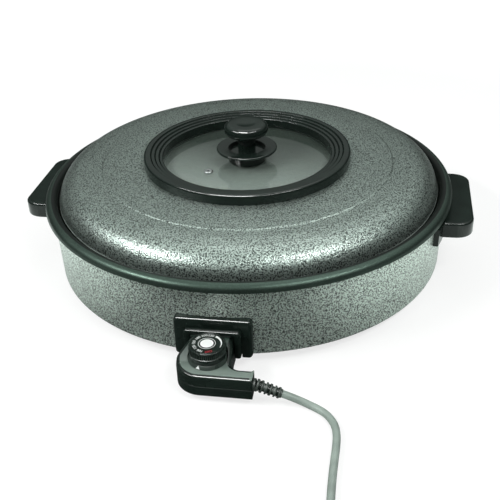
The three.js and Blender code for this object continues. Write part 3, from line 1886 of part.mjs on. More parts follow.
function panGroup() {
  const group = new THREE.Group();
  group.add(cookingPan(), outerShell(), basePlate(), ...feet(), ...baseStuds(), heatShield());
  group.add(heatingElement(), ...elementClamps(), ...terminalPins(), terminalPlate());
  group.add(probeSleeve(), earthStrap(), socketFrame(), socketShroud(), ...socketScrews());
  group.add(sideHandle('handle_left', -1), sideHandle('handle_right', 1));
  group.add(handleBracket('handle_bracket_left', -1), handleBracket('handle_bracket_right', 1));
  return group;
}

function lidGroup() {
  const group = new THREE.Group();
  group.add(lidShell(), windowRing(), windowGasket(), windowGlass(), windowClampRing());
  group.add(steamVent(), lidKnob(), lidKnobBase(), knobWasher(), knobScrewPiece());
  group.position.z = pan.seatHeight + clearance;
  return group;
}

function dialGroup() {
  const group = new THREE.Group();
  group.add(dialKnob(), dialCapDisc(), dialSpindle());
  group.position.y = -dialReach;
  return group;
}

function controlGroup() {
  const group = new THREE.Group();
  group.add(controlUpper(), controlLower(), ...housingScrews(), probeRod(), ...receptacles());
  group.add(thermostatSwitch(), terminalBlock(), strainRelief());
  const ringOnDeck = dialCollar();
  ringOnDeck.position.y = -dialReach;
  group.add(ringOnDeck, dialGroup());
  group.add(mainsCord(), cordCoil(), cordTie(), plugTail(), mainsPlug());
  return group;
}

const skillet = new THREE.Group();
skillet.add(panGroup(), lidGroup(), controlGroup());

export default skillet;
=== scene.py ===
"""Looks of a round electric skillet with a lift-off windowed lid and a plug-in thermostat control.

The script is laid out as an add-on: every piece, or group of like pieces, has its own operator.
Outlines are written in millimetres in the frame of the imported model, whose origin is the centre
of the base plate's underside, and a finished piece is brought to metres.
"""

import json
import math

import bmesh
import bpy
from bpy.props import FloatProperty, FloatVectorProperty, IntProperty, PointerProperty
from mathutils import Matrix, Vector

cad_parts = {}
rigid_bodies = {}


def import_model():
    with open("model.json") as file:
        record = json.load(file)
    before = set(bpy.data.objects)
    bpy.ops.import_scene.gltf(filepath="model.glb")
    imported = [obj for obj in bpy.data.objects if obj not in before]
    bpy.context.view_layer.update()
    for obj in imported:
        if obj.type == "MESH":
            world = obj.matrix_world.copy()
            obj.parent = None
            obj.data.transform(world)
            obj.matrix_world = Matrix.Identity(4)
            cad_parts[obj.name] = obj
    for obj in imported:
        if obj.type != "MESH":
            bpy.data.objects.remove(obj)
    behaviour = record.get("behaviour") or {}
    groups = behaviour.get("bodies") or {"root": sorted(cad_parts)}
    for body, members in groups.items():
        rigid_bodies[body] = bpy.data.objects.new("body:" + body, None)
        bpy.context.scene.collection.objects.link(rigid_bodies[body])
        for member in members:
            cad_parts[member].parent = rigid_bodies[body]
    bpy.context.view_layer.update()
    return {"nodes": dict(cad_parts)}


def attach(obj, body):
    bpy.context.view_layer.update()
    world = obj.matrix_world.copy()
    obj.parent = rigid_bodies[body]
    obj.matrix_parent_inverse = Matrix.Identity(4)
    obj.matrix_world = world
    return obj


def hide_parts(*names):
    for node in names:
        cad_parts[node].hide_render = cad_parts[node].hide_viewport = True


bl_info = {
    "name": "Electric skillet",
    "version": (1, 0, 0),
    "blender": (4, 5, 0),
    "location": "3D View > Sidebar > Skillet",
    "description": "Builds the finished pieces of an electric skillet round its packed model",
    "category": "Object",
}

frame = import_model()

MM = 0.001
GAP = 0.3  # between pieces that touch
SHARP_EDGE = 35  # degrees from which an edge is shaded as sharp

# Pan
RIM_RADIUS = 210
WALL_RADIUS = 187.6
SEAT_HEIGHT = 72
LIP_TOP = 79
PAN_SHEET = 2.4
FLOOR_TOP = 19

# Outer wall and base
SHELL_TOP_RADIUS = 203
SHELL_BOTTOM_RADIUS = 201
SHELL_TOP = 75.7
SHELL_SHEET = 1.2
BASE_SHEET = 1
FOOT_RING = 150
FOOT_ANGLES = [45, 135, 225, 315]
TABLE = -9

# Lid; its heights are counted from LID_BASE, where it stands on the pan's ledge
LID_BASE = 72.3
HOLE_RADIUS = 97
SEAT_RADIUS = 108.4
LID_SEAT = 28.2
RING_OUTER = 106.2
RING_INNER = 86.5
RING_TOP = 38.5
RING_STEP = 1.2
THROAT_BOTTOM = 26
LID_SHEET = 1.2
GLASS_EDGE_TOP = 24.2
GLASS_RADIUS = 94.7
GLASS_THICKNESS = 3.4
GLASS_DOME = 1
DOME_RADIUS = 88.2
GASKET_TOP = 25.7
GASKET_LOW = 19.3
CLAMP_SHEET = 1.2
VENT_REACH = 46.8
VENT_ANGLE = 222

# Socket and control
FRAME_FRONT = 207
PLATE_FRONT = 197
SHROUD_HALF_WIDTH = 25.5
SHROUD_TOP = 32.5
SHROUD_FRONT = 211.5
CONTROL_BACK = 203
CONTROL_FRONT = 254.5
CONTROL_END = 42
CONTROL_BOTTOM = -2.5
DECK = 17.5
DIAL_REACH = 229
DIAL_WELL = 17.6
DIAL_TOP = 33.5
INK_LOW = 33.48
INK_TOP = 33.56
PROBE_HEIGHT = 12.3
SEAM = 7

# Mains cord: free stretch, then the coil and the tail to the plug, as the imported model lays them
CORD_RADIUS = 3.25
CORD_START = [
    (45.0, -248.11, 8.44), (51.7, -248.34, 6.33), (58.4, -248.58, 4.22),
]
CORD_ROUTE = [
    (65.1, -248.8, 2.1), (70.8, -249.0, 0.3), (77.0, -249.4, -1.8), (83.6, -250.4, -3.8),
    (90.2, -252.4, -5.2), (96.8, -255.6, -5.7), (103.2, -260.2, -5.7), (108.6, -266.6, -5.7),
    (112.6, -274.6, -5.7), (114.6, -284.0, -5.7), (115.2, -296.0, -5.7), (115.0, -310.0, -5.7),
    (114.8, -325.0, -5.7), (114.9, -340.0, -5.7), (115.3, -355.0, -5.7), (115.7, -370.0, -5.6),
    (116.0, -385.0, -5.4), (116.0, -400.0, -5.0), (116.0, -414.0, -4.65),
    (116.0, -425.7, -4.65),
]
COIL_TURNS = 5.25
COIL_RADIUS = 37.4
COIL_PITCH = 7.1
COIL_HEIGHT = -4.65
TAIL_ROUTE = [
    (0.3, 0), (8, -0.2), (16, -1.9), (24, -4.6), (31.5, -7.3), (38.5, -8.1), (45, -6.95),
]


def linear(code):
    """Linear colour of an sRGB hex code."""
    channels = [int(code[at:at + 2], 16) / 255 for at in (1, 3, 5)]
    return [c / 12.92 if c <= 0.04045 else ((c + 0.055) / 1.055) ** 2.4 for c in channels] + [1.0]


def colour_setting(name, description, code):
    return FloatVectorProperty(
        name=name, description=description, subtype="COLOR", size=4, min=0, max=1, default=linear(code)
    )


class SkilletColours(bpy.types.PropertyGroup):
    """Colours of the skillet's finishes."""

    # partly painted light: the enamel's own colour, made lighter than the lid's to stand for the pale
    # floor it mirrors
    wall_paint_with_painted_light: colour_setting("Wall paint", "Hammertone enamel of the outer wall", "#a3aea7")
    lid_paint: colour_setting("Lid paint", "Hammertone enamel of the lid", "#7e8883")
    rim_coat: colour_setting("Rim coat", "Satin coat of the pan's rolled rim", "#44524b")
    # painted light: lighter than the dark non-stick coat, so the inside seen through the glass is not
    # black
    pan_coat_with_painted_light: colour_setting("Pan coat", "Non-stick coat inside the pan", "#8f9a93")
    plastic: colour_setting("Plastic", "Moulded black plastic", "#17201c")
    # pale deck colour; deck_coat fades it towards the neck as a painted sheen
    deck: colour_setting("Control deck", "Satin top of the control", "#78857e")
    # collar's own colour, also put on the dial's rib band as a painted highlight that picks out the ribs
    collar: colour_setting("Dial collar", "Satin plastic of the collar and the dial's ribs", "#2f3934")
    relief: colour_setting("Strain relief", "Grey sleeve on the cord", "#37403b")
    cord: colour_setting("Cord", "Sheath of the mains cord", "#929e97")
    print_white: colour_setting("White print", "Scale on the dial", "#f4f6f5")
    print_red: colour_setting("Red print", "The dial's off mark", "#c22436")


class SkilletSizes(bpy.types.PropertyGroup):
    """Sizes of surface details; the skillet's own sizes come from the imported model."""

    hammer_grain: FloatProperty(
        name="Hammer grain",
        description="Width of a dimple in the hammertone enamel",
        default=0.00115,
        min=0.0005,
        max=0.01,
        unit="LENGTH",
    )
    numeral_height: FloatProperty(
        name="Numeral height",
        description="Height of the numbers printed on the dial",
        default=0.0023,
        min=0.001,
        max=0.004,
        unit="LENGTH",
    )
    dial_ribs: IntProperty(
        name="Dial ribs", description="Grip ribs round the dial", default=60, min=24, max=120
    )
    large_facets: IntProperty(
        name="Large facets", description="Facets round the pan and the lid", default=160, min=48, max=256
    )


def colours():
    return bpy.context.scene.skillet_colours


def sizes():
    return bpy.context.scene.skillet_sizes


# Outlines in the plane

def rounding_starts(corners, closed):
    """How far from each corner its rounding starts; two that would meet share their side."""
    count = len(corners)
    spots = [Vector(corner[:2]) for corner in corners]
    sides = [spots[(index + 1) % count] - spots[index] for index in range(count)]
    wanted = []
    for index, corner in enumerate(corners):
        is_end = not closed and index in (0, count - 1)
        radius = 0 if is_end or len(corner) < 3 else corner[2]
        half = (-sides[index - 1]).angle(sides[index]) / 2
        wanted.append(radius / math.tan(half))
    shares = [
        min(1, sides[index].length / max(wanted[index] + wanted[(index + 1) % count], 1e-9))
        for index in range(count)
    ]
    return [wanted[index] * min(shares[index], shares[index - 1]) for index in range(count)]


def rounded(corners, closed=True, fineness=9):
    """Points of an outline whose corners (x, y, radius) are rounded, one for each few degrees of turn."""
    points = []
    count = len(corners)
    starts = rounding_starts(corners, closed)
    for index, corner in enumerate(corners):
        here = Vector(corner[:2])
        radius = corner[2] if len(corner) > 2 else 0
        if radius <= 0 or (not closed and index in (0, count - 1)):
            points.append(here)
            continue
        before = Vector(corners[index - 1][:2]) - here
        after = Vector(corners[(index + 1) % count][:2]) - here
        before.normalize()
        after.normalize()
        half = before.angle(after) / 2
        tangent = starts[index]
        centre = here + (before + after).normalized() * tangent / math.cos(half)
        start = here + before * tangent - centre
        end = here + after * tangent - centre
        steps = max(2, math.ceil(math.degrees(math.pi - 2 * half) / fineness))
        reach = start.length
        for step in range(steps + 1):
            points.append(centre + start.slerp(end, step / steps).normalized() * reach)
    return points


def offset(corners, distance):
    """The corners of an open outline moved to the right of their travel, and their rounding with them."""
    count = len(corners)
    beside = []
    for index, corner in enumerate(corners):
        here = Vector(corner[:2])
        along_in = here - Vector(corners[index - 1][:2])
        along_out = Vector(corners[(index + 1) % count][:2]) - here
        if index == 0:
            along_in = along_out
        if index == count - 1:
            along_out = along_in
        normal_in = Vector((along_in.y, -along_in.x)).normalized()
        normal_out = Vector((along_out.y, -along_out.x)).normalized()
        mitre = (normal_in + normal_out) * distance / (1 + normal_in.dot(normal_out))
        turns_left = normal_in.cross(normal_out) > 0
        radius = corner[2] if len(corner) > 2 else 0
        if radius > 0:
            radius = max(0.01, radius + (distance if turns_left else -distance))
        beside.append((here.x + mitre.x, here.y + mitre.y, radius))
    return beside


def sheet_outline(corners, thickness):
    """Closed outline of bent sheet metal whose thickness lies to the right of the corners' travel."""
    face = rounded(corners, closed=False)
    back = rounded(offset(corners, thickness), closed=False)
    return face + back[::-1]


def rectangle(left, bottom, right, top, radius=0):
    return [(left, bottom, radius), (right, bottom, radius), (right, top, radius), (left, top, radius)]


def circle(radius, facets, x=0, y=0):
    angles = [math.tau * index / facets for index in range(facets)]
    return [Vector((x + radius * math.cos(a), y + radius * math.sin(a))) for a in angles]


def arc(centre, half_width, half_height, degrees):
    """Points of an ellipse at the given angles."""
    angles = [math.radians(degree) for degree in degrees]
    x, y = centre
    return [Vector((x + half_width * math.cos(a), y + half_height * math.sin(a))) for a in angles]


# Solids as bmeshes, in millimetres

def close_up(body):
    """Merges the corners that meet and turns the faces outwards."""
    bmesh.ops.remove_doubles(body, verts=body.verts, dist=0.0005)
    bmesh.ops.dissolve_degenerate(body, dist=0.0001, edges=body.edges)
    bmesh.ops.recalc_face_normals(body, faces=body.faces)
    return body


def turned(outline, facets=96):
    """An outline of radius and height turned round the Z axis."""
    body = bmesh.new()
    points = [body.verts.new((point[0], 0, point[1])) for point in outline]
    on_axis = abs(outline[0][0]) < 1e-6 and abs(outline[-1][0]) < 1e-6
    pairs = list(zip(points, points[1:])) + ([] if on_axis else [(points[-1], points[0])])
    edges = [body.edges.new(pair) for pair in pairs]
    whole_turn = {"cent": (0, 0, 0), "axis": (0, 0, 1), "angle": math.tau, "use_merge": True}
    bmesh.ops.spin(body, geom=points + edges, steps=facets, **whole_turn)
    return close_up(body)


def raised(outline, low, high):
    """A plan outline raised from one height to another."""
    body = bmesh.new()
    face = body.faces.new([body.verts.new((point[0], point[1], low)) for point in outline])
    grown = bmesh.ops.extrude_face_region(body, geom=[face])["geom"]
    top = [part for part in grown if isinstance(part, bmesh.types.BMVert)]
    bmesh.ops.translate(body, verts=top, vec=(0, 0, high - low))
    return close_up(body)


def moved(body, *steps):
    """The body after the given matrices, the first one first."""
    for step in steps:
        body.transform(step)
    bmesh.ops.recalc_face_normals(body, faces=body.faces)
    return body


def shift(x=0, y=0, z=0):
    return Matrix.Translation((x, y, z))


def turn(degrees, axis="Z"):
    return Matrix.Rotation(math.radians(degrees), 4, axis)


FORWARD = turn(90, "X")  # brings heights to distances before the pan, along -Y


def run_forward(outline, near, far):
    """An outline of x and height run along -Y from one distance before the pan to a greater one."""
    return moved(raised(outline, near, far), FORWARD)


def run_sideways(outline, left, right):
    """An outline of y and height run along X."""
    axes = Matrix(((0, 0, 1, 0), (1, 0, 0, 0), (0, 1, 0, 0), (0, 0, 0, 1)))
    return moved(raised(outline, left, right), axes)


def rod(x, height, radius, near, far, facets=32):
    return run_forward(circle(radius, facets, x, height), near, far)


def upright(x, y, radius, low, high, facets=32):
    return raised(circle(radius, facets, x, y), low, high)


def as_mesh(name, body):
    """Turns a bmesh into a mesh and frees it."""
    mesh = bpy.data.meshes.new(name)
    body.to_mesh(mesh)
    body.free()
    return mesh


def in_scene(name, data):
    """A new object in the scene."""
    item = bpy.data.objects.new(name, data)
    bpy.context.scene.collection.objects.link(item)
    return item


def together(*bodies):
    """The bodies in one bmesh, each still its own shell."""
    whole = bmesh.new()
    for body in bodies:
        mesh = as_mesh("scratch", body)
        whole.from_mesh(mesh)
        bpy.data.meshes.remove(mesh)
    return whole


def combined(body, tool, operation="DIFFERENCE"):
    """The body cut by, joined with or kept inside the tool."""
    scratch = [in_scene("scratch", as_mesh("scratch", part)) for part in (body, tool)]
    modifier = scratch[0].modifiers.new("combine", "BOOLEAN")
    modifier.operation = operation
    modifier.solver = "EXACT"
    modifier.object = scratch[1]
    result = bmesh.new()
    result.from_object(scratch[0], bpy.context.evaluated_depsgraph_get())
    for part in scratch:
        mesh = part.data
        bpy.data.objects.remove(part)
        bpy.data.meshes.remove(mesh)
    bmesh.ops.remove_doubles(result, verts=result.verts, dist=0.001)
    return result


def bevel_edges(body, edges, width, segments):
    bmesh.ops.bevel(
        body,
        geom=list(edges),
        offset=width,
        offset_type="OFFSET",
        segments=segments,
        profile=0.5,
        affect="EDGES",
        material=-1,
        clamp_overlap=False,
    )


def crown(body, direction, radius, steps=5):
    """Rounds the border of the flat face that lies furthest in a direction by a quarter circle."""
    body.faces.ensure_lookup_table()
    direction = Vector(direction)
    facing = [face for face in body.faces if face.normal.dot(direction) > 0.9]
    flat = max(facing, key=lambda face: (face.calc_center_median().dot(direction), face.calc_area()))
    last = (0.0, 0.0)
    for step in range(1, steps + 1):
        angle = math.pi / 2 * step / steps
        here = (radius * (1 - math.cos(angle)), radius * math.sin(angle))
        bmesh.ops.inset_region(
            body,
            faces=[flat],
            thickness=here[0] - last[0],
            depth=here[1] - last[1],
            use_boundary=True,
            use_even_offset=True,
        )
        last = here


def put(name, body, finishes, rides_on, stands_for=None):
    """Makes a piece of a bmesh in millimetres, hides the CAD node it stands for and hangs it on its body.
    """
    bmesh.ops.scale(body, vec=(MM, MM, MM), verts=body.verts)
    mesh = as_mesh(name, body)
    mesh.shade_smooth()
    mesh.set_sharp_from_angle(angle=math.radians(SHARP_EDGE))
    piece = in_scene(name, mesh)
    for name_of_finish in finishes:
        mesh.materials.append(finish(name_of_finish))
    if stands_for:
        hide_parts(stands_for)
    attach(piece, rides_on)
    return piece


def paint_faces(body, index, wanted):
    """Gives another material slot to the faces that the test picks by their middle and their normal."""
    for face in body.faces:
        if wanted(face.calc_center_median(), face.normal):
            face.material_index = index


# Finishes

SPAN = ("Value", "From Min", "From Max", "To Min", "To Max")  # inputs that stretch one range over another


def add_node(tree, kind, inputs=None, **settings):
    """Adds a node with its settings, and gives its inputs values or links."""
    node = tree.nodes.new("ShaderNode" + kind)
    for name, value in settings.items():
        setattr(node, name, value)
    for name, value in (inputs or {}).items():
        if isinstance(value, bpy.types.NodeSocket):
            tree.links.new(value, node.inputs[name])
        else:
            node.inputs[name].default_value = value
    return node


def start_finish(name, noises, **surface):
    """A material with its shader, the place on the object in millimetres, and the noises over it, each
    given by its scale per millimetre and its detail."""
    material = bpy.data.materials.new(name)
    material.use_nodes = True
    tree = material.node_tree
    tree.nodes.clear()
    inputs = {key.replace("_", " "): value for key, value in surface.items()}
    shader = add_node(tree, "BsdfPrincipled", inputs)
    add_node(tree, "OutputMaterial", {"Surface": shader.outputs[0]})
    place = add_node(tree, "TexCoord")
    scaled = {0: place.outputs["Object"], "Scale": 1 / MM}
    spot = add_node(tree, "VectorMath", scaled, operation="SCALE").outputs[0]
    patterns = []
    for scale, detail in noises:
        noise = add_node(tree, "TexNoise", {"Vector": spot, "Scale": scale, "Detail": detail})
        patterns.append(noise.outputs[0])
    return material, tree, shader, spot, *patterns


def blend_colour(tree, shader, pattern, dark, pale, low, high):
    """Lets a pattern carry the base colour from dark, where it is low, to pale, where it is high."""
    share = add_node(tree, "MapRange", dict(zip(SPAN, (pattern, low, high))))
    mix = add_node(tree, "Mix", {0: share.outputs[0], 6: dark, 7: pale}, data_type="RGBA")
    tree.links.new(mix.outputs[2], shader.inputs["Base Color"])


def vary_roughness(tree, shader, pattern, smooth, rough):
    """Lets a noise carry the roughness from smooth to rough."""
    share = add_node(tree, "MapRange", dict(zip(SPAN, (pattern, 0.3, 0.7, smooth, rough))))
    tree.links.new(share.outputs[0], shader.inputs["Roughness"])


def add_relief(tree, shader, pattern, depth):
    """Bump whose height is the pattern times a depth in millimetres."""
    bump = add_node(tree, "Bump", {"Height": pattern, "Distance": depth * MM, "Strength": 1.0})
    tree.links.new(bump.outputs[0], shader.inputs["Normal"])


def shade(colour, factor):
    """A lighter or darker one of the same hue."""
    return [min(1.0, channel * factor) for channel in colour[:3]] + [1.0]


def hammertone(name, paint, flake, depth):
    """Hammertone enamel, sprayed and baked on steel: silicone in it pulls the paint into round dimples,
    whose colour is painted dark in the hollows and pale on the crowns as painted shade and highlight;
    aluminium flake in it glints, each dimple at its own angle, and the clear resin that rises to the top
    gives a soft gloss over them."""
    surface = {"Roughness": 0.33, "Metallic": flake, "Coat_Weight": 0.3, "Coat_Roughness": 0.3}
    material, tree, shader, spot = start_finish(name, [], **surface)
    grain = sizes().hammer_grain / MM
    wander = add_node(tree, "TexNoise", {"Vector": spot, "Scale": 0.6 / grain, "Detail": 2.0})
    sway = {0: wander.outputs["Color"], 1: (grain, grain, grain), 2: spot}
    bent = add_node(tree, "VectorMath", sway, operation="MULTIPLY_ADD").outputs[0]
    cells = add_node(tree, "TexVoronoi", {"Vector": bent, "Scale": 1 / grain}, feature="SMOOTH_F1")
    fleck = add_node(tree, "TexNoise", {"Vector": bent, "Scale": 1.1 / grain, "Detail": 3.0})
    flecked = {0: fleck.outputs[0], 1: 0.75, 2: cells.outputs["Distance"]}
    mixed = add_node(tree, "Math", flecked, operation="MULTIPLY_ADD")
    # painted shade and highlight: the relief's own pattern makes the hollows dark and the crowns pale
    blend_colour(tree, shader, mixed.outputs[0], shade(paint, 0.13), shade(paint, 1.95), 0.65, 0.85)
    vary_roughness(tree, shader, fleck.outputs[0], 0.24, 0.42)
    add_relief(tree, shader, mixed.outputs[0], depth)
    return material


def satin_coat(name, coat, pearl=0.0):
    """Sprayed and baked satin coat, with more or less mica in it: an even sheen, broken by a fine
    orange peel and pale specks."""
    surface = {"Roughness": 0.38, "Metallic": pearl, "Specular_IOR_Level": 0.3}
    noises = [(1 / 0.9, 3.0), (0.03, 2.0)]
    material, tree, shader, _, peel, cloud = start_finish(name, noises, **surface)
    blend_colour(tree, shader, peel, shade(coat, 0.75), shade(coat, 1.3), 0.3, 0.7)
    vary_roughness(tree, shader, cloud, 0.33, 0.43)
    add_relief(tree, shader, peel, 0.03)
    return material


def moulded_plastic(name, colour, roughness, grain, depth, gloss=0.4):
    """Moulded plastic or rubber: the mould's polish or spark-eroded grain shows as fine relief, with
    slow changes of gloss where the melt flowed."""
    surface = {"Roughness": roughness, "Specular_IOR_Level": gloss}
    noises = [(1 / grain, 2.0), (0.06, 1.0)]
    material, tree, shader, _, skin, flow = start_finish(name, noises, **surface)
    blend_colour(tree, shader, flow, shade(colour, 0.85), shade(colour, 1.2), 0.3, 0.7)
    vary_roughness(tree, shader, flow, roughness * 0.85, roughness * 1.15)
    add_relief(tree, shader, skin, depth)
    return material


def deck_coat(name, pale, dark):
    """Satin soft-feel coat sprayed on the control's top, pale at the front, with a fine even grain; up
    the ramp its colour runs to a lighter copy of the black plastic, a painted sheen that fades towards
    the neck."""
    surface = {"Roughness": 0.34, "Specular_IOR_Level": 0.4}
    material, tree, shader, spot, grain = start_finish(name, [(1.4, 2.0)], **surface)
    parts = add_node(tree, "SeparateXYZ", {0: spot})
    frayed = {0: grain, 1: 3.0, 2: parts.outputs["Y"]}
    sheen_fade = add_node(tree, "Math", frayed, operation="MULTIPLY_ADD").outputs[0]
    # painted sheen: colour runs from the pale deck at the front to a lighter copy of the black plastic up
    # the ramp
    blend_colour(tree, shader, sheen_fade, pale, shade(dark, 4), 10 - CONTROL_FRONT, 36 - CONTROL_FRONT)
    vary_roughness(tree, shader, grain, 0.3, 0.4)
    add_relief(tree, shader, grain, 0.012)
    return material


def rolled_metal(name, colour, roughness):
    """Rolled or drawn bare metal: fine lines along one way and a slightly cloudy oxide."""
    surface = {"Metallic": 1.0, "Roughness": roughness}
    material, tree, shader, spot, cloud = start_finish(name, [(0.08, 3.0)], **surface)
    drawn = add_node(tree, "Mapping", {"Vector": spot, "Scale": (0.15, 4.0, 4.0)})
    lines = add_node(tree, "TexNoise", {"Vector": drawn.outputs[0], "Scale": 1.0, "Detail": 2.0})
    blend_colour(tree, shader, cloud, shade(colour, 0.85), shade(colour, 1.08), 0.3, 0.7)
    vary_roughness(tree, shader, lines.outputs[0], roughness * 0.75, roughness * 1.3)
    add_relief(tree, shader, lines.outputs[0], 0.01)
    return material


def soda_glass(name):
    """Toughened float glass, ground at the edge: a faint green body under a film of kitchen haze, whose
    colour is painted pale towards the front and dark towards the back, a painted reflection."""
    surface = {"Roughness": 0.02, "IOR": 1.5, "Transmission_Weight": 0.76, "Specular_IOR_Level": 0.3}
    material, tree, shader, spot, wave = start_finish(name, [(0.02, 1.0)], **surface)
    parts = add_node(tree, "SeparateXYZ", {0: spot})
    # painted reflection: base colour pale at the front, dark at the back
    blend_colour(tree, shader, parts.outputs["Y"], linear("#e4f2ea"), linear("#6a776f"), -85, 45)
    vary_roughness(tree, shader, wave, 0.01, 0.05)
    add_relief(tree, shader, wave, 0.15)
    return material


def fired_ceramic(name, colour):
    """Pressed and fired steatite: chalky, slightly speckled, not glazed."""
    material, tree, shader, _, speck = start_finish(name, [(1.5, 4.0)], Roughness=0.7)
    blend_colour(tree, shader, speck, shade(colour, 0.8), shade(colour, 1.05), 0.35, 0.6)
    add_relief(tree, shader, speck, 0.03)
    return material


def printed_ink(name, ink):
    """Pad-printed ink: matt, a little uneven in cover."""
    material, tree, shader, _, cover = start_finish(name, [(2.5, 2.0)], Roughness=0.5)
    blend_colour(tree, shader, cover, shade(ink, 0.93), ink, 0.3, 0.6)
    return material


def finish(name):
    """The named finish, made when it is first asked for."""
    made = bpy.data.materials.get(name)
    if made:
        return made
    tones = colours()
    recipes = {
        "hammertone_enamel_wall": (hammertone, tones.wall_paint_with_painted_light, 0.7, 0.2),
        "hammertone_enamel_lid": (hammertone, tones.lid_paint, 0.85, 0.25),
        "satin_ptfe_rim": (satin_coat, tones.rim_coat, 0.85),
        # painted shade: the rim coat at 8 per cent of its lightness, for the trough round the lid
        "satin_ptfe_trough": (satin_coat, shade(tones.rim_coat, 0.08), 0.3),
        "satin_ptfe_inside": (satin_coat, tones.pan_coat_with_painted_light),
        "polished_phenolic": (moulded_plastic, tones.plastic, 0.12, 3.0, 0.012),
        "grained_phenolic": (moulded_plastic, tones.plastic, 0.36, 0.5, 0.012, 0.1),
        "satin_phenolic": (moulded_plastic, tones.collar, 0.3, 0.8, 0.01),
        "satin_deck_coat": (deck_coat, tones.deck, tones.plastic),
        # painted highlight: a pale coat on the lid's bead stands for the light line along its edge
        "bright_enamel_edge": (satin_coat, linear("#aab5af"), 0.2),
        "soft_pvc_sleeve": (moulded_plastic, tones.relief, 0.5, 0.6, 0.03),
        "extruded_pvc_cord": (moulded_plastic, tones.cord, 0.4, 1.2, 0.03),
        "moulded_rubber": (moulded_plastic, linear("#1b1d1d"), 0.75, 0.8, 0.05),
        "cast_silicone": (moulded_plastic, linear("#3a4541"), 0.55, 1.0, 0.03),
        "toughened_glass": (soda_glass,),
        "aluminised_steel": (rolled_metal, linear("#b4b8b8"), 0.36),
        "plated_steel": (rolled_metal, linear("#c9cccb"), 0.2),
        "nickelled_brass": (rolled_metal, linear("#b99a56"), 0.28),
        "oxidised_sheath": (rolled_metal, linear("#5d5a55"), 0.5),
        "fired_steatite": (fired_ceramic, linear("#d9d4c6")),
        "white_ink": (printed_ink, tones.print_white),
        "red_ink": (printed_ink, tones.print_red),
    }
    maker, *values = recipes[name]
    return maker(name, *values)


def dress(material, *nodes):
    """Gives carried-over CAD nodes their finish through their own material slots."""
    for node in nodes:
        for place in frame["nodes"][node].material_slots:
            place.material = finish(material)


def numbered(name, count):
    return [f"{name}_{index + 1}" for index in range(count)]


def sided(name):
    return [f"{name}_left", f"{name}_right"]


# Stage

ROOM_TINT = (0.92, 1.0, 0.96, 1)  # what gloss sees of the room is faintly green


